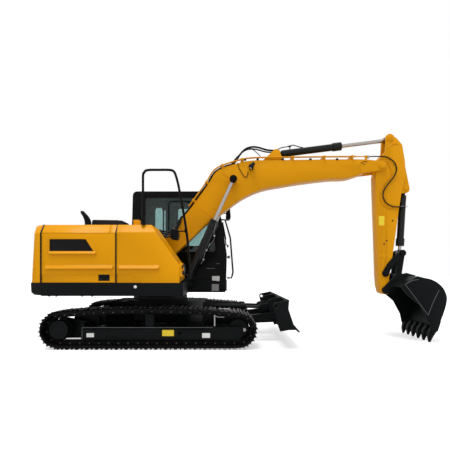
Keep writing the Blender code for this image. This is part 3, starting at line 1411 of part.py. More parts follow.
def build_front():
    """Boom, arm and bucket with their cylinders."""
    build_boom()
    build_boom_pipes()
    build_boom_lamp()
    for name, side in (("right", -1), ("left", 1)):
        middle = at_boom(side * BOOM_CYL_OFFSET)
        build_cylinder(
            "boom_cylinder_" + name, BOOM_CYL_FOOT, BOOM_CYL_EYE, middle, BOOM_CYLINDER, BOOM_EYE_HALF,
        )
    build_cylinder("arm_cylinder", ARM_CYL_FOOT, ARM_CYL_EYE, BOOM_Y, ARM_CYLINDER, EYE_HALF)
    build_arm()
    build_cylinder("bucket_cylinder", BUCKET_CYL_FOOT, LINK_PIN, BOOM_Y, BUCKET_CYLINDER, EYE_HALF)
    build_rocker()
    build_link()
    build_bucket()


def centre_on_origin(machine):
    """Moves the machine so that its box is centred on the origin along X."""
    bpy.context.view_layer.update()
    places = [
        piece.matrix_world @ Vector(corner) for piece in machine.children for corner in piece.bound_box
    ]
    machine.location.x = -(min(p.x for p in places) + max(p.x for p in places)) / 2
    bpy.context.view_layer.update()


def main():
    clear_scene()
    machine = bpy.data.objects.new("machine", None)
    bpy.context.scene.collection.objects.link(machine)
    build_undercarriage()
    build_upper()
    build_front()
    centre_on_origin(machine)


main()
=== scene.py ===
"""Looks of the crawler excavator: paint, glass, cylinders, hoses, small fittings and the studio stage.

Sizes are in metres. The helper at() takes places measured from the slewing axis and the ground.
"""

import json
import math

import bmesh
import bpy
from bpy.props import FloatProperty, FloatVectorProperty, PointerProperty
from mathutils import Matrix, Vector
from mathutils.bvhtree import BVHTree


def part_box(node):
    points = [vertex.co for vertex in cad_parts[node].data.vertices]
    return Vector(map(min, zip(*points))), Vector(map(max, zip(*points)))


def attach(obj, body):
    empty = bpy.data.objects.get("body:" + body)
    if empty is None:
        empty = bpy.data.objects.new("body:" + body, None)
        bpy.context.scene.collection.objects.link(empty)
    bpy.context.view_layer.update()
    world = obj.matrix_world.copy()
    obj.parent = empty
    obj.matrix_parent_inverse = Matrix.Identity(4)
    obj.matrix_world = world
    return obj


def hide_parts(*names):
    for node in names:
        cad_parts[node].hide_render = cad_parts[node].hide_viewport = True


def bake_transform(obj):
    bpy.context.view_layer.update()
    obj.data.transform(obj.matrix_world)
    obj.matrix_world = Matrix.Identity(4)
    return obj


bl_info = {
    "name": "Crawler Excavator Looks",
    "version": (1, 0, 0),
    "blender": (4, 5, 0),
    "location": "3D View > Sidebar > Excavator",
    "description": "Paint, glass, hoses and small fittings around the packed crawler excavator",
    "category": "Object",
}

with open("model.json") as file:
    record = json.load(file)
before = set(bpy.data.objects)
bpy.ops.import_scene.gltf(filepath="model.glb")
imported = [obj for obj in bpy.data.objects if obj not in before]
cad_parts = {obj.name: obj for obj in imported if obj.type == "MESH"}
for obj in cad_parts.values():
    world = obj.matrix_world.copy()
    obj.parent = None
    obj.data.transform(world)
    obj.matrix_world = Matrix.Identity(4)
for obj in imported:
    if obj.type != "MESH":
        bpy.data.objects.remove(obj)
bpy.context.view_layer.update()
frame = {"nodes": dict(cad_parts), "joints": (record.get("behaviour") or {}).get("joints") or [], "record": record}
JOINTS = {joint["name"]: joint for joint in frame["joints"]}
BODY_OF = {name: body for body, names in frame["record"]["behaviour"]["bodies"].items() for name in names}

SWING_X = JOINTS["swing"]["pos_m"][0]
BOOM_Y = JOINTS["boom_lift"]["pos_m"][1]
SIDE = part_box("door_left")[1].y
HOOD_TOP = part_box("counterweight")[1].z
BOOM_WIDTH = 0.30
BOOM_FACE = BOOM_Y - BOOM_WIDTH / 2
ARM_FACE = BOOM_Y - 0.12
CAB_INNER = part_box("cab_shell")[0].y
CAB_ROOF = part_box("cab_shell")[1].z
# Surface of each CAD node that skin_y has asked about
SURFACES = {}


def at(x, y, z):
    """A place measured from the slewing axis and the ground."""
    return Vector((SWING_X + x, y, z))


def side_path(points, y):
    """Places for side-view points, all at one Y."""
    return [at(x, y, z) for x, z in points]


def pin_of(joint):
    """A joint's place in side view, measured like the places that at() takes."""
    x, _, z = JOINTS[joint]["pos_m"]
    return x - SWING_X, z


def skin_y(node, x, z, side):
    """Where a CAD node's outer face stands along Y, seen from the right (-1) or the left (1)."""
    if node not in SURFACES:
        mesh = frame["nodes"][node].data
        SURFACES[node] = BVHTree.FromPolygons(
            [vertex.co for vertex in mesh.vertices], [face.vertices for face in mesh.polygons],
        )
    outside = 6.0
    place = SURFACES[node].ray_cast(at(x, outside * side, z), Vector((0, -side, 0)))[0]
    if place is None:
        raise RuntimeError(f"{node} has no face at {x:.3f}, {z:.3f}")
    return place.y


# Settings that a user would change


class PaintSettings(bpy.types.PropertyGroup):
    """Colours and gloss of the painted and bare surfaces"""

    machine: FloatVectorProperty(
        name="Machine Paint", description="Colour of hood, boom and arm", subtype="COLOR",
        default=(0.70, 0.295, 0.0008), min=0.0, max=1.0,
    )
    charcoal: FloatVectorProperty(
        name="Frame Paint", description="Colour of skirts, undercarriage and blade", subtype="COLOR",
        default=(0.0034, 0.0048, 0.0052), min=0.0, max=1.0,
    )
    black: FloatVectorProperty(
        name="Cab Paint", description="Colour of cab, rails and cylinders", subtype="COLOR",
        default=(0.0015, 0.0017, 0.0017), min=0.0, max=1.0,
    )
    glass: FloatVectorProperty(
        name="Glass Tint", description="Tint of the safety glass", subtype="COLOR",
        default=(0.45, 0.60, 0.59), min=0.0, max=1.0,
    )
    gloss: FloatProperty(
        name="Clear Coat", description="Share of clear coat over the machine paint",
        default=0.06, min=0.0, max=1.0, subtype="FACTOR",
    )


class FittingSettings(bpy.types.PropertyGroup):
    """Factors on the sizes of edges and small fittings"""

    edges: FloatProperty(
        name="Edge Rounding", description="Factor on the rounding of the edges",
        default=1.0, min=0.2, max=2.0, subtype="FACTOR",
    )
    bolts: FloatProperty(
        name="Bolt Heads", description="Factor on the size of the bolt heads",
        default=1.0, min=0.2, max=2.0, subtype="FACTOR",
    )
    hoses: FloatProperty(
        name="Hose Thickness", description="Factor on the thickness of the hoses along boom and arm",
        default=1.0, min=0.2, max=2.0, subtype="FACTOR",
    )


class StageSettings(bpy.types.PropertyGroup):
    """The studio: camera, floor and light"""

    distance: FloatProperty(
        name="Camera Distance", description="From the camera to the middle plane",
        default=7.3, min=1.0, unit="LENGTH",
    )
    lens: FloatProperty(
        name="Lens", description="Focal length in millimetres", default=28.4, min=10.0, max=200.0,
    )
    backdrop: FloatProperty(
        name="Backdrop", description="Brightness of the floor", default=0.97, min=0.0, max=1.0,
    )
    fill: FloatProperty(
        name="Fill Light", description="Strength of the surroundings at the horizon", default=0.42, min=0.0,
    )
    sun: FloatProperty(name="Key Light", description="Strength of the soft sun", default=1.7, min=0.0)


def settings(name):
    return getattr(bpy.context.scene, "excavator_" + name)


# Shader groups and materials


def shader_group(name, inputs, outputs):
    """An empty shader group with named sockets: rows of label, kind and default."""
    tree = bpy.data.node_groups.new(name, "ShaderNodeTree")
    for label, kind, default in inputs:
        socket = tree.interface.new_socket(label, in_out="INPUT", socket_type="NodeSocket" + kind)
        socket.default_value = default
    for label, kind in outputs:
        tree.interface.new_socket(label, in_out="OUTPUT", socket_type="NodeSocket" + kind)
    source = tree.nodes.new("NodeGroupInput")
    sink = tree.nodes.new("NodeGroupOutput")
    return tree, source.outputs, sink.inputs


def noise(tree, scale, detail=2.0, stretch=None):
    """A noise texture in object coordinates; stretch scales the axes."""
    place = tree.nodes.new("ShaderNodeTexCoord").outputs["Object"]
    if stretch:
        mapping = tree.nodes.new("ShaderNodeMapping")
        mapping.inputs["Scale"].default_value = stretch
        tree.links.new(place, mapping.inputs["Vector"])
        place = mapping.outputs["Vector"]
    made = tree.nodes.new("ShaderNodeTexNoise")
    made.inputs["Scale"].default_value = scale
    made.inputs["Detail"].default_value = detail
    tree.links.new(place, made.inputs["Vector"])
    return made.outputs["Fac"]


def spread(tree, value, low, high, to_low, to_high):
    """The value's range from low to high, mapped to another range."""
    made = tree.nodes.new("ShaderNodeMapRange")
    for label, number in (("From Min", low), ("From Max", high), ("To Min", to_low), ("To Max", to_high)):
        socket = made.inputs[label]
        if isinstance(number, (int, float)):
            socket.default_value = number
        else:
            tree.links.new(number, socket)
    tree.links.new(value, made.inputs["Value"])
    return made.outputs["Result"]


def arithmetic(tree, operation, first, second):
    made = tree.nodes.new("ShaderNodeMath")
    made.operation = operation
    made.use_clamp = True
    for socket, value in zip(made.inputs, (first, second)):
        if isinstance(value, (int, float)):
            socket.default_value = value
        else:
            tree.links.new(value, socket)
    return made.outputs[0]


def mixed(tree, share, first, second):
    """Two colours mixed by a share."""
    made = tree.nodes.new("ShaderNodeMix")
    made.data_type = "RGBA"
    tree.links.new(share, made.inputs[0])
    for socket, value in ((made.inputs[6], first), (made.inputs[7], second)):
        if isinstance(value, tuple):
            socket.default_value = value
        else:
            tree.links.new(value, socket)
    return made.outputs[2]


def sprayed_paint_group():
    """Slow drift of tone, fine orange peel and a slightly uneven gloss."""
    tree, given, out = shader_group(
        "sprayed_paint",
        [("Colour", "Color", (0.8, 0.8, 0.8, 1.0)), ("Shade", "Color", (0.6, 0.6, 0.6, 1.0)),
         ("Gloss Low", "Float", 0.3), ("Gloss High", "Float", 0.45)],
        [("Colour", "Color"), ("Roughness", "Float"), ("Height", "Float")],
    )
    drift = spread(tree, noise(tree, 0.9, 3.0), 0.38, 0.72, 0.0, 1.0)
    tree.links.new(mixed(tree, drift, given["Colour"], given["Shade"]), out["Colour"])
    tree.links.new(
        spread(tree, noise(tree, 6.0), 0.3, 0.7, given["Gloss Low"], given["Gloss High"]), out["Roughness"],
    )
    tree.links.new(noise(tree, 320.0, 1.0), out["Height"])
    return tree


def site_dust_group():
    """Pale dust that thins with height above the ground."""
    tree, given, out = shader_group(
        "site_dust",
        [("Colour", "Color", (0.1, 0.1, 0.1, 1.0)), ("Dust", "Color", (0.16, 0.14, 0.12, 1.0)),
         ("Top", "Float", 0.8), ("Amount", "Float", 0.3)],
        [("Colour", "Color"), ("Mask", "Float")],
    )
    place = tree.nodes.new("ShaderNodeTexCoord").outputs["Object"]
    split = tree.nodes.new("ShaderNodeSeparateXYZ")
    tree.links.new(place, split.inputs[0])
    low = spread(tree, split.outputs["Z"], 0.0, given["Top"], 1.0, 0.0)
    patches = spread(tree, noise(tree, 7.0, 6.0), 0.42, 0.68, 0.0, 1.0)
    mask = arithmetic(tree, "MULTIPLY", arithmetic(tree, "MULTIPLY", low, patches), given["Amount"])
    tree.links.new(mask, out["Mask"])
    tree.links.new(mixed(tree, mask, given["Colour"], given["Dust"]), out["Colour"])
    return tree


def edge_wear_group():
    """Bare metal along outer edges, broken up by noise."""
    tree, given, out = shader_group(
        "edge_wear",
        [
            ("Colour", "Color", (0.1, 0.1, 0.1, 1.0)), ("Metal", "Color", (0.3, 0.3, 0.3, 1.0)),
            ("Amount", "Float", 0.6),
        ],
        [("Colour", "Color"), ("Mask", "Float")],
    )
    pointed = tree.nodes.new("ShaderNodeNewGeometry").outputs["Pointiness"]
    edges = spread(tree, pointed, 0.51, 0.56, 0.0, 1.0)
    broken = spread(tree, noise(tree, 22.0, 5.0), 0.45, 0.6, 0.0, 1.0)
    mask = arithmetic(tree, "MULTIPLY", arithmetic(tree, "MULTIPLY", edges, broken), given["Amount"])
    tree.links.new(mask, out["Mask"])
    tree.links.new(mixed(tree, mask, given["Colour"], given["Metal"]), out["Colour"])
    return tree


GROUPS = {"sprayed_paint": sprayed_paint_group, "site_dust": site_dust_group, "edge_wear": edge_wear_group}


def placed_group(tree, name, **values):
    """A node for the named group, made on its first use, with its inputs set."""
    made = tree.nodes.new("ShaderNodeGroup")
    made.node_tree = bpy.data.node_groups.get(name) or GROUPS[name]()
    for label, value in values.items():
        socket = made.inputs[label.replace("_", " ")]
        if isinstance(value, bpy.types.NodeSocket):
            tree.links.new(value, socket)
        else:
            socket.default_value = value
    return made.outputs


def new_material(name):
    """A node material and its Principled shader."""
    made = bpy.data.materials.new(name)
    made.use_nodes = True
    return made, made.node_tree, made.node_tree.nodes["Principled BSDF"]


def bumped(tree, shader, height, strength, distance):
    bump = tree.nodes.new("ShaderNodeBump")
    bump.inputs["Strength"].default_value = strength
    bump.inputs["Distance"].default_value = distance
    tree.links.new(height, bump.inputs["Height"])
    tree.links.new(bump.outputs["Normal"], shader.inputs["Normal"])


def opaque(colour, share=1.0):
    return tuple(channel * share for channel in colour) + (1.0,)


def enamel(name, colour, shade, gloss, coat, level, dust_top=0.0, dust=0.0):
    """Sprayed paint with its dust; level is the strength of its reflections."""
    made, tree, shader = new_material(name)
    paint = placed_group(
        tree, "sprayed_paint", Colour=opaque(colour), Shade=opaque(colour, shade),
        Gloss_Low=gloss[0], Gloss_High=gloss[1],
    )
    tint = paint["Colour"]
    if dust:
        tint = placed_group(tree, "site_dust", Colour=tint, Top=dust_top, Amount=dust)["Colour"]
    tree.links.new(tint, shader.inputs["Base Color"])
    tree.links.new(paint["Roughness"], shader.inputs["Roughness"])
    bumped(tree, shader, paint["Height"], 0.08, 0.001)
    shader.inputs["Specular IOR Level"].default_value = level
    shader.inputs["Coat Weight"].default_value = coat
    shader.inputs["Coat Roughness"].default_value = 0.12
    return made


def machine_paint():
    paint = settings("paint")
    return enamel("machine_paint", tuple(paint.machine), 0.95, (0.30, 0.40), paint.gloss, 0.07)


def cab_paint():
    return enamel("cab_paint", tuple(settings("paint").black), 0.8, (0.28, 0.40), 0.0, 0.09)


def barrel_paint():
    return enamel("barrel_paint", (0.004, 0.0048, 0.005), 0.8, (0.16, 0.26), 0.0, 0.24)


def frame_paint():
    charcoal = tuple(settings("paint").charcoal)
    return enamel("frame_paint", charcoal, 0.85, (0.38, 0.50), 0.0, 0.09, 0.5, 0.02)


def shoe_steel():
    made, tree, shader = new_material("shoe_steel")
    tone = spread(tree, noise(tree, 25.0, 4.0), 0.35, 0.65, 0.0, 1.0)
    colour = mixed(tree, tone, (0.0012, 0.0012, 0.0012, 1.0), (0.003, 0.003, 0.003, 1.0))
    tree.links.new(colour, shader.inputs["Base Color"])
    tree.links.new(spread(tree, noise(tree, 40.0, 4.0), 0.3, 0.7, 0.4, 0.6), shader.inputs["Roughness"])
    shader.inputs["Specular IOR Level"].default_value = 0.10
    bumped(tree, shader, noise(tree, 90.0, 4.0), 0.2, 0.002)
    return made


def worn_steel():
    """Worn steel that the ground keeps bright, on crests and pin heads; its paleness is partly wear and partly a
    painted glint.
    """
    made, tree, shader = new_material("worn_steel")
    # Edge wear floods these small bars, so each crest turns pale all over: partly wear, partly painted glint.
    worn = placed_group(
        tree, "edge_wear", Colour=(0.045, 0.043, 0.038, 1.0), Metal=(0.20, 0.19, 0.17, 1.0), Amount=0.5,
    )
    dusty = placed_group(tree, "site_dust", Colour=worn["Colour"], Top=1.2, Amount=0.1)
    tree.links.new(dusty["Colour"], shader.inputs["Base Color"])
    shader.inputs["Metallic"].default_value = 0.3
    tree.links.new(spread(tree, noise(tree, 60.0, 3.0), 0.3, 0.7, 0.3, 0.5), shader.inputs["Roughness"])
    bumped(tree, shader, noise(tree, 120.0, 3.0), 0.2, 0.001)
    return made


def bare_casting():
    made, tree, shader = new_material("bare_casting")
    tone = spread(tree, noise(tree, 12.0, 4.0), 0.35, 0.65, 0.0, 1.0)
    colour = mixed(tree, tone, (0.008, 0.008, 0.008, 1.0), (0.014, 0.013, 0.012, 1.0))
    tree.links.new(colour, shader.inputs["Base Color"])
    tree.links.new(spread(tree, noise(tree, 30.0), 0.3, 0.7, 0.45, 0.65), shader.inputs["Roughness"])
    shader.inputs["Specular IOR Level"].default_value = 0.2
    bumped(tree, shader, noise(tree, 160.0, 3.0), 0.25, 0.0015)
    return made


def chrome_rod():
    made, tree, shader = new_material("chrome_rod")
    shader.inputs["Base Color"].default_value = (0.44, 0.41, 0.38, 1.0)
    shader.inputs["Metallic"].default_value = 1.0
    tree.links.new(
        spread(tree, noise(tree, 25.0, 2.0, (1.0, 1.0, 0.05)), 0.3, 0.7, 0.16, 0.28),
        shader.inputs["Roughness"],
    )
    return made


def dark_rod():
    """Near-black rods of the blade's cylinders."""
    return moulded("dark_rod", (0.010, 0.010, 0.011), 0.25, 0.35, 200.0, 0.05)


def bright_steel():
    made, tree, shader = new_material("bright_steel")
    shader.inputs["Base Color"].default_value = (0.42, 0.41, 0.40, 1.0)
    shader.inputs["Metallic"].default_value = 0.9
    tree.links.new(spread(tree, noise(tree, 50.0, 3.0), 0.3, 0.7, 0.25, 0.45), shader.inputs["Roughness"])
    bumped(tree, shader, noise(tree, 200.0), 0.1, 0.001)
    return made


def cab_glass():
    made, tree, shader = new_material("cab_glass")
    shader.inputs["Base Color"].default_value = opaque(tuple(settings("paint").glass))
    shader.inputs["Transmission Weight"].default_value = 1.0
    shader.inputs["IOR"].default_value = 1.36
    tree.links.new(spread(tree, noise(tree, 3.0), 0.3, 0.7, 0.0, 0.03), shader.inputs["Roughness"])
    return made


def moulded(name, colour, low, high, grain_scale, grain):
    """Rubber or plastic with a fine moulded grain."""
    made, tree, shader = new_material(name)
    tone = spread(tree, noise(tree, 15.0, 3.0), 0.35, 0.65, 0.0, 1.0)
    tree.links.new(mixed(tree, tone, opaque(colour), opaque(colour, 1.3)), shader.inputs["Base Color"])
    tree.links.new(spread(tree, noise(tree, 30.0), 0.3, 0.7, low, high), shader.inputs["Roughness"])
    shader.inputs["Specular IOR Level"].default_value = 0.15
    bumped(tree, shader, noise(tree, grain_scale, 2.0), grain, 0.001)
    return made


def hose_rubber():
    return moulded("hose_rubber", (0.004, 0.004, 0.004), 0.40, 0.55, 300.0, 0.2)


def trim_plastic():
    return moulded("trim_plastic", (0.008, 0.008, 0.009), 0.5, 0.65, 500.0, 0.3)


def cab_lining():
    return moulded("cab_lining", (0.09, 0.15, 0.15), 0.6, 0.75, 400.0, 0.2)


def seat_cloth():
    """A coarse weave of two crossing threads."""
    made, tree, shader = new_material("seat_cloth")
    place = tree.nodes.new("ShaderNodeTexCoord").outputs["Object"]
    threads = []
    for direction in ("Y", "Z"):
        wave = tree.nodes.new("ShaderNodeTexWave")
        wave.bands_direction = direction
        wave.inputs["Scale"].default_value = 90.0
        tree.links.new(place, wave.inputs["Vector"])
        threads.append(wave.outputs["Fac"])
    weave = arithmetic(tree, "MULTIPLY", *threads)
    tree.links.new(
        mixed(tree, weave, (0.03, 0.031, 0.034, 1.0), (0.07, 0.072, 0.078, 1.0)),
        shader.inputs["Base Color"],
    )
    shader.inputs["Roughness"].default_value = 0.9
    shader.inputs["Sheen Weight"].default_value = 0.3
    bumped(tree, shader, weave, 0.3, 0.002)
    return made


def blank_plate(name, colour):
    """A blank sticker or plate in one printed colour."""
    made, tree, shader = new_material(name)
    tone = spread(tree, noise(tree, 10.0, 3.0), 0.35, 0.65, 0.0, 1.0)
    tree.links.new(mixed(tree, tone, opaque(colour), opaque(colour, 0.92)), shader.inputs["Base Color"])
    shader.inputs["Roughness"].default_value = 0.4
    return made


def white_plate():
    return blank_plate("white_plate", (0.80, 0.80, 0.78))


def grey_plate():
    return blank_plate("grey_plate", (0.30, 0.30, 0.29))


def yellow_plate():
    return blank_plate("yellow_plate", (0.85, 0.62, 0.02))


def bright_bead():
    """Pale grey for a steel pipe and small marks; on the bucket's welds and edge and along the track frames' edges
    it is a painted highlight.
    """
    return blank_plate("bright_bead", (0.12, 0.13, 0.14))


def lamp_lens():
    made, tree, shader = new_material("lamp_lens")
    tone = spread(tree, noise(tree, 60.0), 0.3, 0.7, 0.0, 1.0)
    tree.links.new(
        mixed(tree, tone, (0.75, 0.77, 0.78, 1.0), (0.6, 0.62, 0.64, 1.0)), shader.inputs["Base Color"],
    )
    shader.inputs["Roughness"].default_value = 0.1
    shader.inputs["Coat Weight"].default_value = 0.6
    return made


FINISHES = {}


def finish(builder):
    """The material that a builder makes, made once."""
    if builder not in FINISHES:
        FINISHES[builder] = builder()
    return FINISHES[builder]


# Mesh building


def add_prism(form, outline, low, high, axis="Y"):
    """Adds the outline, drawn across the axis, extruded along it."""
    places = {
        "X": lambda u, v, w: at(w, u, v),
        "Y": lambda u, v, w: at(u, w, v),
        "Z": lambda u, v, w: at(u, v, w),
    }[axis]
    near = [form.verts.new(places(u, v, low)) for u, v in outline]
    far = [form.verts.new(places(u, v, high)) for u, v in outline]
    form.faces.new(near)
    form.faces.new(list(reversed(far)))
    count = len(outline)
    for index in range(count):
        after = (index + 1) % count
        form.faces.new((near[index], far[index], far[after], near[after]))


def corners_of(low, high):
    """The corners of an upright rectangle, from its lower left and upper right ones."""
    return [low, (high[0], low[1]), high, (low[0], high[1])]


def circle(centre, radius, degrees, stretch=1.0):
    """Side-view places around a centre; stretch is the share of the height to the width."""
    x, z = centre
    angles = [math.radians(value) for value in degrees]
    return [(x + radius * math.cos(angle), z + radius * stretch * math.sin(angle)) for angle in angles]


def add_block(form, x_range, y_range, z_range):
    """Adds a box."""
    add_prism(form, corners_of(*zip(x_range, z_range)), *y_range)


def add_plate(form, corners, radius, steps, low, high, axis="Y"):
    """Adds a plate whose corners are rounded, from low to high along the axis."""
    add_prism(form, rounded(corners, radius, steps), low, high, axis)


def add_rings(form, rings, capped=True):
    """Joins rings of vertices into a skin, with its two ends closed."""
    if capped:
        form.faces.new(rings[0])
        form.faces.new(rings[-1])
    count = len(rings[0])
    for first, second in zip(rings, rings[1:]):
        for index in range(count):
            after = (index + 1) % count
            form.faces.new((first[index], first[after], second[after], second[index]))


def new_ring(form, centre, side, up, radius, count):
    """A ring of new vertices around a centre, in the plane of two directions."""
    ring = []
    for index in range(count):
        angle = 2 * math.pi * index / count
        ring.append(form.verts.new(centre + radius * (side * math.cos(angle) + up * math.sin(angle))))
    return ring


def add_turned(form, start, direction, rows, sides=40):
    """Adds a turned solid: rows are (distance along the direction, radius)."""
    axis = Vector(direction).normalized()
    side = axis.orthogonal().normalized()
    up = axis.cross(side)
    base = Vector(start)
    add_rings(
        form, [new_ring(form, base + axis * along, side, up, radius, sides) for along, radius in rows],
    )


def smooth_path(points, steps=8):
    """A smooth curve through the points."""
    route = [Vector(point) for point in points]
    route = [2 * route[0] - route[1]] + route + [2 * route[-1] - route[-2]]
    found = []
    for before, start, end, after in zip(route, route[1:], route[2:], route[3:]):
        for step in range(steps):
            share = step / steps
            found.append(0.5 * (
                2 * start + (end - before) * share + (2 * before - 5 * start + 4 * end - after) * share ** 2
                + (3 * start - before - 3 * end + after) * share ** 3
            ))
    return found + [route[-2]]


def add_tube(form, path, radius, sides=14):
    """Adds a round tube along a path."""
    rings = []
    side = None
    for index, centre in enumerate(path):
        tangent = (path[min(index + 1, len(path) - 1)] - path[max(index - 1, 0)]).normalized()
        if side is None:
            side = tangent.orthogonal().normalized()
        side = (side - tangent * side.dot(tangent)).normalized()
        rings.append(new_ring(form, centre, side, tangent.cross(side), radius, sides))
    add_rings(form, rings)


def add_loop(form, path, radius, sides=8):
    """Adds a closed ring of round section along a flat loop of places across Y."""
    across = Vector((0, 1, 0))
    rings = []
    for index, centre in enumerate(path):
        tangent = (path[(index + 1) % len(path)] - path[index - 1]).normalized()
        rings.append(new_ring(form, centre, tangent.cross(across).normalized(), across, radius, sides))
    add_rings(form, rings + [rings[0]], capped=False)


def rounded(corners, radius, steps=5):
    """An outline whose corners are arcs of one radius."""
    outline = []
    count = len(corners)
    for index, corner in enumerate(corners):
        here = Vector(corner)
        before = Vector(corners[index - 1]) - here
        after = Vector(corners[(index + 1) % count]) - here
        half = before.angle(after) / 2
        reach = min(radius / math.tan(half), 0.49 * before.length, 0.49 * after.length)
        middle = here + (before.normalized() + after.normalized()).normalized() * reach / math.cos(half)
        first = here + before.normalized() * reach - middle
        turn = first.angle_signed(here + after.normalized() * reach - middle)
        for step in range(steps + 1):
            spoke = Vector(first)
            spoke.rotate(Matrix.Rotation(-turn * step / steps, 2))
            outline.append(tuple(middle + spoke))
    return outline


BEVEL_SEGMENTS = 2
# Edges that turn by more than this are rounded, or stay sharp on a piece without rounding, in degrees
BEVEL_TURN, SHARP_TURN = 28, 32


def show(name, mesh, builder, body, bevel=0.0, replaces=(), blend=None, patch=None):
    """The mesh as a finished piece that rides on a body; given a blend, it stays where it is and rides on no body.
    """
    mesh.materials.clear()
    mesh.materials.append(finish(builder))
    if patch:
        picks, second = patch
        mesh.materials.append(finish(second))
        for face in mesh.polygons:
            place = face.center - Vector((SWING_X, 0, 0))
            face.material_index = int(picks(place))
    mesh.shade_smooth()
    piece = bpy.data.objects.new(name, mesh)
    bpy.context.scene.collection.objects.link(piece)
    if bevel:
        modifier = piece.modifiers.new("edges", "BEVEL")
        modifier.width = bevel * settings("fitting").edges
        modifier.segments = BEVEL_SEGMENTS
        modifier.limit_method = "ANGLE"
        modifier.angle_limit = math.radians(BEVEL_TURN)
        modifier.harden_normals = True
    else:
        mesh.set_sharp_from_angle(angle=math.radians(SHARP_TURN))
    if blend:
        first, second, start, end = blend
        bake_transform(piece)
    else:
        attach(piece, body)
    if replaces:
        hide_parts(*replaces)
    return piece


def made(name, form, builder, body, **options):
    """A finished piece from a bmesh."""
    bmesh.ops.recalc_face_normals(form, faces=form.faces)
    mesh = bpy.data.meshes.new(name)
    form.to_mesh(mesh)
    form.free()
    return show(name, mesh, builder, body, **options)


# Vertices of a CAD mesh nearer than this are one, and faces that turn by less than this are flat
MERGE_DISTANCE, FLAT_TURN = 1e-5, math.radians(0.3)


def dressed(node, builder, bevel, patch=None, swell=0.0):
    """A CAD node's own shape with rounded edges and its finish; swell moves its skin outwards."""
    form = bmesh.new()
    form.from_mesh(frame["nodes"][node].data)
    bmesh.ops.remove_doubles(form, verts=form.verts, dist=MERGE_DISTANCE)
    bmesh.ops.dissolve_limit(form, angle_limit=FLAT_TURN, verts=form.verts, edges=form.edges)
    form.normal_update()
    for vertex in form.verts:
        vertex.co += vertex.normal * swell
    mesh = bpy.data.meshes.new(node + "_skin")
    form.to_mesh(mesh)
    form.free()
    return show(node + "_skin", mesh, builder, BODY_OF[node], bevel=bevel, replaces=(node,), patch=patch)


# Geometry Nodes


def bolt_head(tree, given):
    """A hexagon head that stands along Z."""
    head = tree.nodes.new("GeometryNodeMeshCylinder")
    head.inputs["Vertices"].default_value = 6
    tree.links.new(given["Radius"], head.inputs["Radius"])
    tree.links.new(given["Height"], head.inputs["Depth"])
    return head.outputs["Mesh"]


def plain_bar(tree, given):
    """A bar whose length runs along X."""
    bar = tree.nodes.new("GeometryNodeMeshCube")
    size = tree.nodes.new("ShaderNodeCombineXYZ")
    for axis, label in (("X", "Length"), ("Y", "Depth"), ("Z", "Thickness")):
        tree.links.new(given[label], size.inputs[axis])
    tree.links.new(size.outputs[0], bar.inputs["Size"])
    return bar.outputs["Mesh"]


# Tree: what it copies, the axis of the copy that follows the direction, its named sizes
TREES = {
    "bolt_heads": (bolt_head, "Z", (("Radius", 0.014), ("Height", 0.01))),
    "loop_bars": (plain_bar, "X", (("Length", 0.1), ("Depth", 0.02), ("Thickness", 0.01))),
}


def copies_tree(name):
    """A tree that sets a copy of one shape on every vertex, turned to the vertex's direction."""
    build_shape, axis, sizes = TREES[name]
    tree = bpy.data.node_groups.new(name, "GeometryNodeTree")
    tree.interface.new_socket("Geometry", in_out="INPUT", socket_type="NodeSocketGeometry")
    for label, default in sizes:
        socket = tree.interface.new_socket(label, in_out="INPUT", socket_type="NodeSocketFloat")
        socket.default_value = default
    tree.interface.new_socket("Finish", in_out="INPUT", socket_type="NodeSocketMaterial")
    tree.interface.new_socket("Geometry", in_out="OUTPUT", socket_type="NodeSocketGeometry")
    given, out = tree.nodes.new("NodeGroupInput").outputs, tree.nodes.new("NodeGroupOutput").inputs
    direction = tree.nodes.new("GeometryNodeInputNamedAttribute")
    direction.data_type = "FLOAT_VECTOR"
    direction.inputs["Name"].default_value = "direction"
    turn = tree.nodes.new("FunctionNodeAlignRotationToVector")
    turn.axis = axis
    tree.links.new(direction.outputs[0], turn.inputs["Vector"])
    copies = tree.nodes.new("GeometryNodeInstanceOnPoints")
    tree.links.new(given["Geometry"], copies.inputs["Points"])
    tree.links.new(build_shape(tree, given), copies.inputs["Instance"])
    tree.links.new(turn.outputs[0], copies.inputs["Rotation"])
    real = tree.nodes.new("GeometryNodeRealizeInstances")
    paint = tree.nodes.new("GeometryNodeSetMaterial")
    tree.links.new(copies.outputs[0], real.inputs[0])
    tree.links.new(real.outputs[0], paint.inputs["Geometry"])
    tree.links.new(given["Finish"], paint.inputs["Material"])
    tree.links.new(paint.outputs[0], out[0])
    return tree


def repeated(name, tree_name, places, directions, builder, body, **sizes):
    """Runs a tree on points and keeps its result as a plain mesh on the body."""
    mesh = bpy.data.meshes.new(name)
    mesh.from_pydata([tuple(place) for place in places], [], [])
    layer = mesh.attributes.new("direction", "FLOAT_VECTOR", "POINT")
    for entry, direction in zip(layer.data, directions):
        entry.vector = direction
    carrier = bpy.data.objects.new(name + "_points", mesh)
    bpy.context.scene.collection.objects.link(carrier)
    modifier = carrier.modifiers.new("repeat", "NODES")
    modifier.node_group = bpy.data.node_groups.get(tree_name) or copies_tree(tree_name)
    for item in modifier.node_group.interface.items_tree:
        if item.in_out != "INPUT" or item.name == "Geometry":
            continue
        modifier[item.identifier] = finish(builder) if item.name == "Finish" else sizes[item.name]
    bpy.context.view_layer.update()
    result = bpy.data.meshes.new_from_object(carrier.evaluated_get(bpy.context.evaluated_depsgraph_get()))
    bpy.data.objects.remove(carrier, do_unlink=True)
    return show(name, result, builder, body)


def bolts(name, places, facing, body, builder, radius, height):
    """Bolt heads at the places, all facing one way."""
    scale = settings("fitting").bolts
    directions = [facing] * len(places)
    return repeated(
        name, "bolt_heads", places, directions, builder, body, Radius=radius * scale, Height=height * scale,
    )


# Pieces

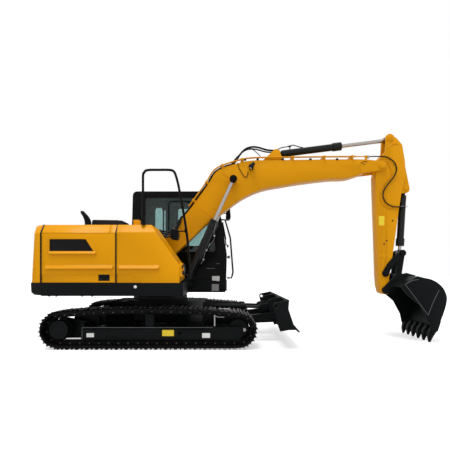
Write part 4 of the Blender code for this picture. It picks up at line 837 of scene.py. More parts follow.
UPPER = BODY_OF["main_deck"]
BASE = BODY_OF["car_body"]
LOUVRE = ((-1.687, 1.691), (-0.932, 1.691), (-1.064, 1.896), (-1.687, 1.896))
HANDLE_POCKET = ((-0.855, 1.179), (-0.658, 1.290))
LID_BOX = ((-1.345, -0.26), (-0.68, 0.18))
CAB_WALL = 0.045

# Pins of the digging arm and the cylinders in side view
BOOM_FOOT_PIN = pin_of("boom_lift")
ARM_PIN = pin_of("arm_swing")
BUCKET_PIN = pin_of("bucket_curl")
ROCKER_PIN = pin_of("rocker_turn")
LINK_PIN = pin_of("link_turn")
BUCKET_FOOT_PIN = pin_of("bucket_tube_tilt")
BOOM_ROD_PIN = (1.482, 3.135)
ARM_ROD_PIN = (4.614, 3.996)
BUCKET_LINK_PIN = (4.784, 1.256)
BLADE_ROD_PIN = (2.06, 0.63)


def inside_outline(outline, x, z):
    """Whether a side-view place lies inside a convex outline drawn counterclockwise."""
    ends = list(outline[1:]) + [outline[0]]
    return all((b[0] - a[0]) * (z - a[1]) > (b[1] - a[1]) * (x - a[0]) for a, b in zip(outline, ends))


def in_louvre(place):
    """The louvre's slats and the floor behind them."""
    return place.y > -SIDE - 0.001 and inside_outline(LOUVRE, place.x, place.z)


def in_pocket(place):
    """The walls and the floor of the right door's handle pocket."""
    (x_low, x_high), (z_low, z_high) = zip(*HANDLE_POCKET)
    return place.y > -SIDE + 0.009 and x_low <= place.x <= x_high and z_low <= place.z <= z_high


def on_right_door(place):
    return place.y < -SIDE + 0.04 and (in_louvre(place) or in_pocket(place))


def on_lid_box(place):
    """The low box on the hood's lid."""
    (x_low, x_high), (y_low, y_high) = zip(*LID_BOX)
    return place.z > HOOD_TOP + 0.004 and x_low < place.x < x_high and y_low < place.y < y_high


def inside_cab(place):
    """The inner faces of the cab's walls and roof."""
    in_length = -0.645 < place.x < 1.33
    in_width = CAB_INNER + CAB_WALL < place.y < SIDE - CAB_WALL
    return in_length and in_width and place.z < CAB_ROOF - CAB_WALL


# Node, its finish, the rounding of its edges
SKINS = (
    ("counterweight", machine_paint, 0.012),
    ("counterweight_foot", frame_paint, 0.008),
    ("tank_cover", machine_paint, 0.014),
    ("engine_hood", machine_paint, 0.010),
    ("hood_frame", machine_paint, 0.004),
    ("door_right", machine_paint, 0.005),
    ("door_left", machine_paint, 0.005),
    ("boom", machine_paint, 0.006),
    ("arm", machine_paint, 0.006),
    ("main_deck", frame_paint, 0.008),
    ("bulkhead", frame_paint, 0.004),
    ("car_body", frame_paint, 0.012),
    ("track_frame_right", frame_paint, 0.005),
    ("track_frame_left", frame_paint, 0.005),
    ("blade", frame_paint, 0.004),
    ("bucket", frame_paint, 0.004),
    ("bucket_rocker", frame_paint, 0.006),
    ("bucket_link", frame_paint, 0.005),
    ("cab_shell", cab_paint, 0.008),
    ("cab_door", cab_paint, 0.006),
    ("control_console", trim_plastic, 0.008),
    ("boom_lamp", cab_paint, 0.004),
    ("boom_pipes", machine_paint, 0.0015),
    ("mirror_right", cab_paint, 0.02),
    ("mirror_left", cab_paint, 0.006),
    ("exhaust_stack", cab_paint, 0.0),
    ("engine_block", bare_casting, 0.02),
    ("slew_ring", bare_casting, 0.003),
    ("sprocket_right", frame_paint, 0.004),
    ("sprocket_left", frame_paint, 0.004),
    ("idler_right", frame_paint, 0.004),
    ("idler_left", frame_paint, 0.004),
    ("track_right", shoe_steel, 0.002),
    ("track_left", shoe_steel, 0.002),
)
# Node, the test that picks faces, their finish
PATCHES = {
    "door_right": (on_right_door, trim_plastic),
    "engine_hood": (on_lid_box, trim_plastic),
    "cab_shell": (inside_cab, cab_lining),
    "cab_door": (inside_cab, cab_lining),
}


class EXCAVATOR_OT_skins(bpy.types.Operator):
    """Give each structural piece its finish and rounded edges"""

    bl_idname = "excavator.skins"
    bl_label = "Structure Finishes"

    def execute(self, context):
        for node, builder, bevel in SKINS:
            dressed(node, builder, bevel, patch=PATCHES.get(node))
        dressed("handrail_cab", cab_paint, 0.0, swell=0.005)
        build_side_rail()
        return {"FINISHED"}


# Side view of the grab rail beside the boom, from its rear foot to its front one
RAIL = (
    (-0.10, 2.157), (-0.10, 2.60), (-0.10, 2.98), (-0.082, 3.055), (-0.02, 3.097), (0.18, 3.102),
    (0.36, 3.10), (0.43, 3.075), (0.472, 2.99), (0.53, 2.746), (0.646, 2.081), (0.70, 1.571),
    (0.707, 1.339), (0.68, 1.246), (0.61, 1.19), (0.575, 1.15),
)
# Mirror: outline of its housing in side view, Y range
MIRRORS = {
    "mirror_right": (
        ((0.374, 1.93), (0.40, 1.895), (0.50, 1.895), (0.52, 1.95), (0.515, 2.06), (0.39, 2.075)),
        (-1.215, -1.005),
    ),
    "mirror_left": (
        (
            (1.335, 2.56), (1.36, 2.535), (1.43, 2.545), (1.455, 2.60),
            (1.44, 2.79), (1.40, 2.825), (1.35, 2.80),
        ),
        (0.98, 1.18),
    ),
}


def build_side_rail():
    """The grab rail with rounded corners, its feet, the mirror's stay and both mirror housings."""
    y = -SIDE + 0.07
    form = bmesh.new()
    add_tube(form, smooth_path(side_path(RAIL, y), 6), 0.0215, 16)
    add_tube(form, side_path(((0.502, 2.04), (0.60, 2.04), (0.655, 2.04)), y), 0.012, 12)
    for x, z in (RAIL[0], RAIL[-1]):
        add_turned(form, at(x, y, z - 0.008), (0, 0, 1), [(0, 0.035), (0.012, 0.035), (0.016, 0.03)], 24)
    add_turned(form, at(0.648, y, 2.01), (0.1, 0, -1), [(-0.06, 0.028), (0.0, 0.028)], 20)
    made("side_rail", form, cab_paint, UPPER, replaces=("handrail_right",))
    for name, (outline, y_range) in MIRRORS.items():
        form = bmesh.new()
        add_plate(form, outline, 0.02, 4, *y_range)
        made(name + "_housing", form, cab_paint, BODY_OF[name], bevel=0.012)


GLAZING = ("glass_right", "glass_front", "glass_rear", "glass_door", "glass_quarter")
# Window seal: node it lies on, outline in side view, outward side
SEALS = (
    ("cab_shell", ((-0.38, 1.75), (1.12, 1.75), (1.06, 2.60), (0.98, 2.90), (-0.38, 2.90)), -1),
    ("cab_door", ((0.19, 1.60), (1.02, 1.60), (0.96, 2.50), (0.88, 2.84), (0.19, 2.84)), 1),
    ("cab_shell", ((-0.50, 1.90), (-0.10, 1.90), (-0.10, 2.86), (-0.50, 2.86)), 1),
)


def window_seal(index, node, outline, side):
    """A rubber lip around a window, lying on the wall."""
    wall = (SIDE if side > 0 else CAB_INNER) + side * 0.001
    form = bmesh.new()
    add_loop(form, side_path(rounded(outline, 0.06, 6), wall), 0.007, 8)
    made(f"window_seal_{index}", form, hose_rubber, BODY_OF[node])


# The track's loop in side view: distance of sprocket and idler from the middle, height of their axles,
# radius of the chain's pitch line around them, how far the upper run is lifted by its carrier roller
SHOES = 46
AXLE_REACH, AXLE_HEIGHT = 1.56, 0.33
PITCH_LINE = 0.245
RISE = 0.065
SPROCKET = (-AXLE_REACH, AXLE_HEIGHT)
LOOP_STEPS = 40


def track_loop():
    """The chain's pitch line as a closed loop of side-view places."""
    sprocket, idler = Vector(SPROCKET), Vector((AXLE_REACH, AXLE_HEIGHT))
    loop = [sprocket - Vector((0, PITCH_LINE))]
    for step in range(LOOP_STEPS + 1):
        angle = math.radians(-90 + 180 * step / LOOP_STEPS)
        loop.append(idler + PITCH_LINE * Vector((math.cos(angle), math.sin(angle))))
    for step in range(1, LOOP_STEPS):
        x = AXLE_REACH - 2 * AXLE_REACH * step / LOOP_STEPS
        loop.append(Vector((x, AXLE_HEIGHT + PITCH_LINE + RISE * (1 - (x / AXLE_REACH) ** 2))))
    for step in range(LOOP_STEPS + 1):
        angle = math.radians(90 + 180 * step / LOOP_STEPS)
        loop.append(sprocket + PITCH_LINE * Vector((math.cos(angle), math.sin(angle))))
    return loop


def track_places():
    """Middle, direction, outward normal and length of every shoe, in side view."""
    loop = track_loop()
    pieces = [(a, b) for a, b in zip(loop, loop[1:] + loop[:1]) if (b - a).length > 1e-6]
    total = sum((b - a).length for a, b in pieces)

    def along(share):
        left = (share % 1.0) * total
        for a, b in pieces:
            if left <= (b - a).length:
                return a + (b - a).normalized() * left
            left -= (b - a).length
        return loop[0]

    places = []
    for index in range(SHOES):
        first, last = along(index / SHOES), along((index + 1) / SHOES)
        tangent = (last - first).normalized()
        places.append(((first + last) / 2, tangent, Vector((tangent.y, -tangent.x)), (last - first).length))
    return places


class EXCAVATOR_OT_tracks(bpy.types.Operator):
    """Fit shoe ends, grouser crests, chain links and pins to both tracks"""

    bl_idname = "excavator.tracks"
    bl_label = "Track Details"

    def execute(self, context):
        for side, name in ((-1, "right"), (1, "left")):
            fit_track(side, name)
            form = bmesh.new()
            x, z = SPROCKET
            hub = at(x, skin_y("sprocket_" + name, x, z, side), z)
            rows = [(-0.04, 0.166), (0.0, 0.166), (0.008, 0.158), (0.008, 0.10), (0.013, 0.096)]
            add_turned(form, hub, (0, side, 0), rows, 48)
            made("hub_cover_" + name, form, frame_paint, BODY_OF["sprocket_" + name])
        return {"FINISHED"}


def fit_track(side, name):
    """Bars on every shoe and chain link of one track, and the heads of its pins."""
    shoes = track_places()
    body = BODY_OF["track_" + name]
    low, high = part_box("track_" + name)
    outer, middle = (low.y if side < 0 else high.y), (low.y + high.y) / 2
    # Kind: places as (share of the shoe's length, height over the pitch line), Y place, finish, bar's sizes
    rows = {
        # The crests' pale worn steel is partly wear and partly a painted glint along the runs.
        "grouser_crests": (
            [(share, 0.082) for share in (-0.43, 0.0, 0.43)], middle, worn_steel, (0.012, 0.496, 0.005),
        ),
        "shoe_ends": ([(-0.24, 0.040), (0.24, 0.040)], outer, shoe_steel, (0.058, 0.006, 0.026)),
        "link_plates": ([(0.0, -0.006)], middle + side * 0.087, shoe_steel, (0.118, 0.012, 0.044)),
    }
    for kind, (offsets, y, builder, (length, depth, thickness)) in rows.items():
        places, directions = [], []
        for place, tangent, normal, pitch in shoes:
            for share, height in offsets:
                spot = place + tangent * share * pitch + normal * height
                places.append(at(spot.x, y, spot.y))
                directions.append(Vector((tangent.x, 0, tangent.y)))
        repeated(
            f"{kind}_{name}", "loop_bars", places, directions, builder, body,
            Length=length, Depth=depth, Thickness=thickness,
        )
    ends = [place + tangent * 0.5 * pitch for place, tangent, normal, pitch in shoes]
    pins = [at(end.x, middle + side * 0.093, end.y) for end in ends]
    bolts("track_pins_" + name, pins, Vector((0, side, 0)), body, worn_steel, radius=0.015, height=0.012)


class EXCAVATOR_OT_glazing(bpy.types.Operator):
    """Glaze the cab with tinted safety glass and rubber seals"""

    bl_idname = "excavator.glazing"
    bl_label = "Cab Glass"

    def execute(self, context):
        for node in GLAZING:
            dressed(node, cab_glass, 0.0)
        for index, row in enumerate(SEALS):
            window_seal(index, *row)
        return {"FINISHED"}


# Distance of the boom's and the blade's cylinders from the middle of each pair
BOOM_PAIR, BLADE_PAIR = 0.26, 0.24
BOOM_BARREL, ARM_BARREL, BUCKET_BARREL, BLADE_BARREL = 0.070, 0.069, 0.068, 0.05
# Tilt joint, {name: Y place}, rod's pin, barrel radius, rod radius, barrel length, travel out from rest,
# eye radius, half width of the eyes, finish
CYLINDERS = (
    (
        "boom_tubes_tilt",
        {"boom_cylinder_right": BOOM_Y - BOOM_PAIR, "boom_cylinder_left": BOOM_Y + BOOM_PAIR},
        BOOM_ROD_PIN, BOOM_BARREL, 0.035, 1.37, 0.42, 0.06, 0.065, barrel_paint,
    ),
    (
        "arm_tube_tilt", {"arm_cylinder": BOOM_Y},
        ARM_ROD_PIN, ARM_BARREL, 0.038, 1.33, 0.34, 0.06, 0.075, barrel_paint,
    ),
    (
        "bucket_tube_tilt", {"bucket_cylinder": BOOM_Y},
        LINK_PIN, BUCKET_BARREL, 0.034, 1.13, 0.87, 0.06, 0.075, barrel_paint,
    ),
    (
        "blade_tubes_tilt", {"blade_cylinder_right": -BLADE_PAIR, "blade_cylinder_left": BLADE_PAIR},
        BLADE_ROD_PIN, BLADE_BARREL, 0.028, 0.72, 0.15, 0.05, 0.075, frame_paint,
    ),
)
GLAND_SHARE = 0.13
GLAND_BOLTS = 8
# Length of rod that stays in the barrel at full travel
ROD_HOLD = 0.05


def hydraulic_cylinder(
    tilt, name, y, rod_pin, radius, rod_radius, barrel, stroke, eye_radius, half, builder,
):
    """Barrel with weld beads, gland, bolts and foot; rod; rod eye."""
    foot = Vector(JOINTS[tilt]["pos_m"])
    foot.y = y
    eye = at(rod_pin[0], y, rod_pin[1])
    direction = (eye - foot).normalized()
    length = (eye - foot).length
    neck, collar, gland = 0.11, barrel * (1 - GLAND_SHARE), radius + 0.014
    eye_rows = [(0, eye_radius), (half - 0.004, eye_radius), (half, eye_radius - 0.004)]
    form = bmesh.new()
    rows = [(eye_radius * 0.5, 0.045), (neck - 0.012, 0.045)]
    rows += [(neck, radius - 0.008), (neck + 0.006, radius)]
    rows += [(neck + 0.05, radius), (neck + 0.056, radius + 0.004), (neck + 0.066, radius + 0.004)]
    rows += [(neck + 0.072, radius), (collar - 0.004, radius), (collar, gland), (barrel - 0.046, gland)]
    rows += [(barrel - 0.042, gland - 0.005), (barrel - 0.036, gland - 0.005), (barrel - 0.032, gland)]
    rows += [(barrel - 0.006, gland), (barrel, gland - 0.006), (barrel, rod_radius + 0.008)]
    rows += [(barrel + 0.004, rod_radius + 0.006), (barrel + 0.004, rod_radius + 0.0005)]
    add_turned(form, foot, direction, rows, 48)
    for side in (-1, 1):
        add_turned(form, foot, (0, side, 0), eye_rows)
    made(name + "_barrel", form, builder, BODY_OF[name + "_tube"], replaces=(name + "_tube",))
    rod = bmesh.new()
    rod_rows = [(barrel - ROD_HOLD - stroke, rod_radius), (length - eye_radius * 0.6, rod_radius)]
    add_turned(rod, foot, direction, rod_rows)
    rod_finish = dark_rod if builder is frame_paint else chrome_rod
    made(name + "_chrome", rod, rod_finish, BODY_OF[name + "_rod"], replaces=(name + "_rod",))
    cap = bmesh.new()
    cap_rows = [(0, rod_radius + 0.006), (0.008, rod_radius + 0.014), (0.05, rod_radius + 0.014)]
    add_turned(cap, eye - direction * (eye_radius + 0.008), direction, cap_rows, 32)
    for side in (-1, 1):
        add_turned(cap, eye, (0, side, 0), eye_rows)
    made(name + "_eye", cap, builder, BODY_OF[name + "_rod"])
    across = direction.orthogonal().normalized()
    ring = []
    for index in range(GLAND_BOLTS):
        spoke = across.copy()
        spoke.rotate(Matrix.Rotation(2 * math.pi * index / GLAND_BOLTS, 3, direction))
        ring.append(foot + direction * (barrel + 0.001) + spoke * (gland - 0.014))
    body = BODY_OF[name + "_tube"]
    bolts(name + "_gland_bolts", ring, direction, body, builder, radius=0.008, height=0.012)


# Name, node it rides on, radius, Y place, side-view points of a pipe clipped to a barrel, its clips
BARREL_PIPES = (
    (
        "boom_cylinder_pipe", "boom_cylinder_right_tube", 0.005, BOOM_Y - BOOM_PAIR - 0.086,
        (
            (1.165, 2.346), (1.120, 2.173), (1.108, 2.038), (1.112, 1.975), (1.041, 1.863), (0.979, 1.778),
            (0.942, 1.727), (0.905, 1.580), (0.855, 1.481),
        ),
        ((1.110, 2.030), (0.960, 1.752), (0.900, 1.570)),
    ),
    (
        "arm_cylinder_pipe", "arm_cylinder_tube", 0.010, BOOM_Y - 0.02,
        (
            (2.378, 3.790), (2.45, 3.836), (2.611, 3.867), (2.684, 3.892), (2.756, 3.876), (2.84, 3.852),
            (2.90, 3.840),
        ),
        (),
    ),
)


def build_pipe_clips(name, body, y, clips):
    """Clips that hold a thin pipe to a barrel."""
    clip = bmesh.new()
    rows = [(0, 0.011), (0.003, 0.0135), (0.027, 0.0135), (0.03, 0.011)]
    for x, z in clips:
        add_turned(clip, at(x, y - 0.004, z - 0.02), (0.42, 0, 0.9), rows, 16)
        add_block(clip, (x - 0.012, x + 0.012), (y, y + 0.03), (z - 0.012, z + 0.012))
    made(name, clip, bright_steel, body)


def build_bucket_band():
    """Clamp band with its lug around the bucket cylinder's barrel."""
    band = bmesh.new()
    inner, outer, width = BUCKET_BARREL - 0.01, BUCKET_BARREL + 0.006, 0.020
    rows = [(0, inner), (0, outer), (width, outer), (width, inner)]
    add_turned(band, at(4.910, BOOM_Y, 2.650), (-0.0578, 0, -1), rows, 48)
    face = BOOM_Y - BUCKET_BARREL
    add_block(band, (4.845, 4.97), (face - 0.024, face + 0.002), (2.628, 2.648))
    made("bucket_cylinder_band", band, bright_steel, BODY_OF["bucket_cylinder_tube"])


def build_pipe_stand():
    """Stand that holds the arm cylinder's pipe over its barrel."""
    stand = bmesh.new()
    add_block(stand, (2.622, 2.640), (BOOM_Y - 0.035, BOOM_Y - 0.005), (3.80, 3.868))
    add_turned(stand, at(2.60, BOOM_Y - 0.02, 3.866), (1, 0, 0.1), [(0, 0.016), (0.06, 0.016)], 16)
    made("arm_cylinder_pipe_stand", stand, cab_paint, BODY_OF["arm_cylinder_tube"])


class EXCAVATOR_OT_cylinders(bpy.types.Operator):
    """Build the six hydraulic cylinders with their rods and pipes"""

    bl_idname = "excavator.cylinders"
    bl_label = "Hydraulic Cylinders"

    def execute(self, context):
        for tilt, places, *sizes in CYLINDERS:
            for name, y in places.items():
                hydraulic_cylinder(tilt, name, y, *sizes)
        for name, node, radius, y, points, clips in BARREL_PIPES:
            form = bmesh.new()
            add_tube(form, smooth_path(side_path(points, y), 5), radius, 10)
            made(name, form, bright_bead if clips else hose_rubber, BODY_OF[node])
            if clips:
                build_pipe_clips(name + "_clips", BODY_OF[node], y, clips)
        build_bucket_band()
        build_pipe_stand()
        return {"FINISHED"}


# Name, node, Y place, radius, finish, points in side view
BOOM_LINES = (
    (
        "boom_hose_near", "boom", -0.165, 0.019, hose_rubber,
        (
            (1.44, 3.43), (1.543, 3.563), (1.646, 3.716), (1.748, 3.806), (1.877, 3.841), (2.006, 3.824),
            (2.159, 3.780), (2.313, 3.765),
        ),
    ),
    (
        "boom_hose_far", "boom", -0.06, 0.014, hose_rubber,
        (
            (1.40, 3.43), (1.50, 3.59), (1.62, 3.72), (1.74, 3.81),
            (1.87, 3.835), (2.0, 3.815), (2.15, 3.775), (2.31, 3.765),
        ),
    ),
    (
        "boom_hose_branch", "boom", -0.22, 0.008, hose_rubber,
        ((1.80, 3.81), (1.90, 3.75), (2.00, 3.66), (2.03, 3.61)),
    ),
    (
        "boom_root_hose_a", "boom", -0.20, 0.018, hose_rubber,
        (
            (1.50, 3.495), (1.25, 3.41), (1.09, 3.295), (0.985, 3.115), (0.80, 2.862), (0.625, 2.62),
            (0.36, 2.305),
        ),
    ),
    (
        "boom_root_hose_b", "boom", -0.16, 0.017, hose_rubber,
        (
            (1.48, 3.475), (1.24, 3.395), (1.08, 3.27), (0.985, 3.095), (0.80, 2.842), (0.625, 2.60),
            (0.36, 2.29),
        ),
    ),
    (
        "boom_lamp_cable", "boom", -0.262, 0.006, hose_rubber,
        (
            (1.56, 3.50), (1.577, 3.454), (1.617, 3.353), (1.692, 3.238), (1.742, 3.203), (1.767, 3.252),
            (1.779, 3.327),
        ),
    ),
    (
        "arm_hose", "arm", -0.238, 0.011, hose_rubber,
        (
            (4.563, 3.606), (4.688, 3.511), (4.7335, 3.375), (4.688, 3.238), (4.575, 3.090), (4.484, 2.953),
            (4.466, 2.828), (4.529, 2.7035), (4.654, 2.635), (4.80, 2.622), (4.90, 2.626),
        ),
    ),
    (
        "arm_line", "arm", -0.226, 0.010, machine_paint,
        (
            (4.545, 3.515), (4.575, 3.485), (4.60, 3.45), (4.64, 3.345), (4.61, 3.227), (4.53, 3.127),
            (4.44, 3.01), (4.406, 2.894), (4.426, 2.746), (4.50, 2.645), (4.615, 2.60), (4.74, 2.60),
        ),
    ),
)
# The pipe along the boom's right side that the arm's hose carries on
PIPE_Y, PIPE_Z, PIPE_RADIUS = -0.238, 3.624, 0.011
PIPE_CLAMPS = (1.72, 1.97, 2.47, 3.02, 3.55)
# The arm's hose where it bends over the arm's pin, and the hoses that rise from the deck to the boom's root
JOINT_HOSE = ((4.15, 3.624), (4.28, 3.626), (4.42, 3.625), (4.50, 3.62), (4.563, 3.606))
ROOT_HOSE = ((-0.30, 1.80), (-0.12, 1.98), (0.06, 2.04), (0.22, 2.02), (0.34, 2.10), (0.46, 2.33))


class EXCAVATOR_OT_hoses(bpy.types.Operator):
    """Run the hydraulic hoses over boom and arm"""

    bl_idname = "excavator.hoses"
    bl_label = "Hoses"

    def execute(self, context):
        scale = settings("fitting").hoses
        for name, node, y, radius, builder, points in BOOM_LINES:
            form = bmesh.new()
            add_tube(form, smooth_path(side_path(points, y), 6), radius * scale, 12)
            made(name, form, builder, BODY_OF[node])
        build_pipe_fittings()
        form = bmesh.new()
        add_tube(form, smooth_path(side_path(JOINT_HOSE, PIPE_Y), 8), PIPE_RADIUS * scale, 12)
        made(
            "arm_hose_joint", form, hose_rubber, None,
            blend=("boom", "arm", at(4.17, PIPE_Y, 3.622), at(4.56, PIPE_Y, 3.606)),
        )
        form = bmesh.new()
        for shift in (0.0, 0.05, 0.10):
            path = [at(x, -0.33 + shift * 0.6, z + shift) for x, z in ROOT_HOSE]
            add_tube(form, smooth_path(path, 6), 0.015 * scale, 10)
        made(
            "boom_root_hoses", form, hose_rubber, None,
            blend=("main_deck", "boom", at(-0.2, -0.3, 1.9), at(0.42, -0.3, 2.2)),
        )
        return {"FINISHED"}


def build_pipe_fittings():
    """Front end of the boom's pipe with its two clamps, and the clamps along its run."""
    form = bmesh.new()
    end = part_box("boom_pipes")[1].x - SWING_X
    add_tube(form, side_path([(x, PIPE_Z) for x in (end - 0.03, end + 0.1, 4.16)], PIPE_Y), PIPE_RADIUS, 12)
    add_block(form, (4.10, 4.14), (-0.262, -0.227), (3.52, 3.642))
    made("boom_pipe_end", form, machine_paint, BODY_OF["boom"])
    form = bmesh.new()
    add_block(form, (4.15, 4.185), (-0.262, -0.2265), (3.585, 3.642))
    made("boom_pipe_clamp", form, bright_steel, BODY_OF["boom"], bevel=0.004)
    form = bmesh.new()
    for x in PIPE_CLAMPS:
        add_block(form, (x - 0.022, x + 0.022), (BOOM_FACE - 0.006, BOOM_FACE + 0.05), (3.548, 3.585))
    made("boom_pipe_clamps", form, trim_plastic, BODY_OF["boom"], bevel=0.003)


# Name, node, lower left corner and upper right corner in side view, finish
PLATES = (
    ("cab_plate_white", "cab_shell", (1.045, 1.133), (1.205, 1.239), white_plate),
    ("cab_plate_grey", "main_deck", (1.040, 0.922), (1.188, 1.068), grey_plate),
    ("arm_plate_yellow", "arm", (4.386, 2.255), (4.498, 2.442), yellow_plate),
    ("beam_plate_rear", "track_frame_right", (-1.087, 0.199), (-0.957, 0.270), white_plate),
    ("beam_plate_middle", "track_frame_right", (0.228, 0.219), (0.432, 0.324), yellow_plate),
    ("beam_plate_front", "track_frame_right", (0.922, 0.187), (1.061, 0.270), white_plate),
    # A dark plate over the yoke's slot: painted shade of the opening.
    ("yoke_slot", "track_frame_right", (1.447, 0.272), (1.537, 0.292), trim_plastic),
    ("beam_plate_left", "track_frame_left", (0.228, 0.219), (0.432, 0.324), yellow_plate),
    ("tail_plate_left", "door_left", (-1.50, 1.30), (-1.30, 1.38), white_plate),
)


class EXCAVATOR_OT_plates(bpy.types.Operator):
    """Fix the blank plates and stickers, and a dark plate of painted shade in the yoke's slot"""

    bl_idname = "excavator.plates"
    bl_label = "Blank Plates"

    def execute(self, context):
        for name, node, low, high, builder in PLATES:
            side = 1 if node.endswith("left") else -1
            middle = ((low[0] + high[0]) / 2, (low[1] + high[1]) / 2)
            y = skin_y(node, *middle, side)
            form = bmesh.new()
            outline = rounded(corners_of(low, high), 0.008, 4)
            add_prism(form, outline, y + side * 0.002, y - side * 0.001)
            raised = [
                (middle[0] + (x - middle[0]) * 0.9, middle[1] + (z - middle[1]) * 0.86) for x, z in outline
            ]
            add_prism(form, raised, y + side * 0.0028, y + side * 0.001)
            made(name, form, builder, BODY_OF[node])
        return {"FINISHED"}


BEAM_BOLTS = tuple((x, 0.185) for x in (-0.85, -0.51, -0.17, 0.17, 0.51, 0.85))
HUB_BOLTS = circle(SPROCKET, 0.13, range(0, 360, 30))
CUTTER_BOLTS = ((5.20, 0.43), (5.25, 0.29))
# Name, node, head radius, height, finish, outward side, places in side view
BOLT_ROWS = (
    (
        "cab_roof_bolts", "cab_shell", 0.012, 0.010, cab_paint, -1,
        tuple((-0.60, z) for z in (1.30, 1.55, 1.9, 2.3, 2.7)),
    ),
    (
        "arm_fittings", "arm", 0.017, 0.010, bare_casting, -1,
        ((4.662, 2.354), (4.544, 1.953), (4.4925, 1.885)),
    ),
    (
        "boom_fittings", "boom", 0.012, 0.008, machine_paint, -1,
        ((0.20, 1.92), (0.34, 2.05), (2.30, 3.44), (3.30, 3.46)),
    ),
    ("beam_bolts", "track_frame_right", 0.013, 0.010, frame_paint, -1, BEAM_BOLTS),
    ("beam_bolts_left", "track_frame_left", 0.013, 0.010, frame_paint, 1, BEAM_BOLTS),
    ("hub_bolts", "sprocket_right", 0.012, 0.008, frame_paint, -1, HUB_BOLTS),
    ("hub_bolts_left", "sprocket_left", 0.012, 0.008, frame_paint, 1, HUB_BOLTS),
    ("cutter_bolts", "bucket", 0.018, 0.014, frame_paint, -1, CUTTER_BOLTS),
    ("cutter_bolts_left", "bucket", 0.018, 0.014, frame_paint, 1, CUTTER_BOLTS),
    ("lamp_housing_screws", "tank_cover", 0.007, 0.006, bright_steel, -1, ((0.575, 1.30), (0.578, 1.44))),
)


class EXCAVATOR_OT_fasteners(bpy.types.Operator):
    """Set the bolt heads on the structure"""

    bl_idname = "excavator.fasteners"
    bl_label = "Fasteners"

    def execute(self, context):
        for name, node, radius, height, builder, side, places in BOLT_ROWS:
            seats = [at(x, skin_y(node, x, z, side), z) for x, z in places]
            bolts(name, seats, Vector((0, side, 0)), BODY_OF[node], builder, radius=radius, height=height)
        return {"FINISHED"}


# Pin head: name, node, place in side view, Y it starts at, boss radius, head radius, length, finish
PINS = (
    ("arm_pin", "boom", ARM_PIN, -0.25, 0.082, 0.055, 0.020, machine_paint),
    ("arm_top_pin", "arm", ARM_ROD_PIN, -0.22, 0.062, 0.040, 0.016, machine_paint),
    ("bucket_foot_pin", "arm", BUCKET_FOOT_PIN, None, 0.040, 0.026, 0.014, machine_paint),
    (
        "boom_cylinder_pin", "boom_cylinder_right_rod", BOOM_ROD_PIN, BOOM_Y - 0.325, 0.074, 0.045, 0.016,
        cab_paint,
    ),
    ("rocker_pin", "bucket_rocker", ROCKER_PIN, None, 0.060, 0.035, 0.014, frame_paint),
    ("link_pin", "bucket_rocker", LINK_PIN, None, 0.055, 0.035, 0.014, frame_paint),
    ("bucket_link_pin", "bucket_link", BUCKET_LINK_PIN, None, 0.050, 0.032, 0.014, frame_paint),
    ("bucket_pin", "bucket", BUCKET_PIN, None, 0.075, 0.030, 0.020, frame_paint),
    ("boom_foot_pin", "main_deck", BOOM_FOOT_PIN, None, 0.060, 0.035, 0.014, frame_paint),
)
LOCK_BOLTS = (35, 215)


class EXCAVATOR_OT_pins(bpy.types.Operator):
    """Close the linkage pins with bosses and lock bolts"""

    bl_idname = "excavator.pins"
    bl_label = "Pins"

    def execute(self, context):
        for name, node, pin, start, boss, head, length, builder in PINS:
            y = skin_y(node, *pin, -1) if start is None else start
            rows = [(-0.003, boss), (length * 0.5, boss), (length * 0.7, boss - 0.006)]
            rows += [(length * 0.7, head), (length, head), (length + 0.003, head - 0.003)]
            form = bmesh.new()
            add_turned(form, at(pin[0], y, pin[1]), (0, -1, 0), rows)
            made(name, form, builder, BODY_OF[node])
            seats = side_path(circle(pin, head * 0.6, LOCK_BOLTS), y - length - 0.003)
            facing = Vector((0, -1, 0))
            bolts(name + "_bolts", seats, facing, BODY_OF[node], builder, radius=head * 0.18, height=0.008)
        return {"FINISHED"}


# Weld bead or painted edge highlight: name, node, radius, finish, points in side view; it lies on the node's right
# face
BEADS = (
    ("boom_seam_low", "boom", 0.006, machine_paint, ((0.80, 2.61), (0.92, 2.53), (1.04, 2.435))),
    ("boom_seam_high", "boom", 0.006, machine_paint, ((1.262, 3.295), (1.32, 3.26), (1.375, 3.218))),
    (
        "arm_top_bead", "arm", 0.009, machine_paint,
        ((4.55, 3.79), (4.60, 3.84), (4.66, 3.875), (4.735, 3.89), (4.775, 3.87)),
    ),
    ("arm_seam", "arm", 0.005, machine_paint, ((4.60, 3.105), (4.69, 3.14), (4.80, 3.205))),
    # The bucket's beads are pale grey: on the rear and front welds that is a painted highlight, and the top one is
    # only a painted highlight along the side plate's edge.
    ("bucket_seam_rear", "bucket", 0.004, bright_bead, ((4.70, 1.09), (4.92, 0.80), (5.125, 0.52))),
    ("bucket_seam_front", "bucket", 0.004, bright_bead, ((5.125, 0.52), (5.22, 0.76), (5.33, 0.99))),
    ("bucket_seam_top", "bucket", 0.004, bright_bead, ((4.70, 1.10), (4.82, 1.165), (4.95, 1.19))),
)


class EXCAVATOR_OT_beads(bpy.types.Operator):
    """Lay the weld beads, a painted highlight along the bucket's top edge, the cheek plates of the boom's tip and
    the arm's strip
    """

    bl_idname = "excavator.beads"
    bl_label = "Welds"

    def execute(self, context):
        for name, node, radius, builder, points in BEADS:
            path = smooth_path(side_path(points, 0), 10)
            for place in path:
                place.y = skin_y(node, place.x - SWING_X, place.z, -1)
            form = bmesh.new()
            add_tube(form, path, radius, 8)
            made(name, form, builder, BODY_OF[node])
        build_tip_cheeks()
        strip = bmesh.new()
        corners = corners_of((4.386, 1.625), (4.57, 1.675))
        add_plate(strip, corners, 0.012, 4, ARM_FACE - 0.004, ARM_FACE + 0.002)
        made("arm_strip", strip, machine_paint, BODY_OF["arm"], bevel=0.004)
        return {"FINISHED"}


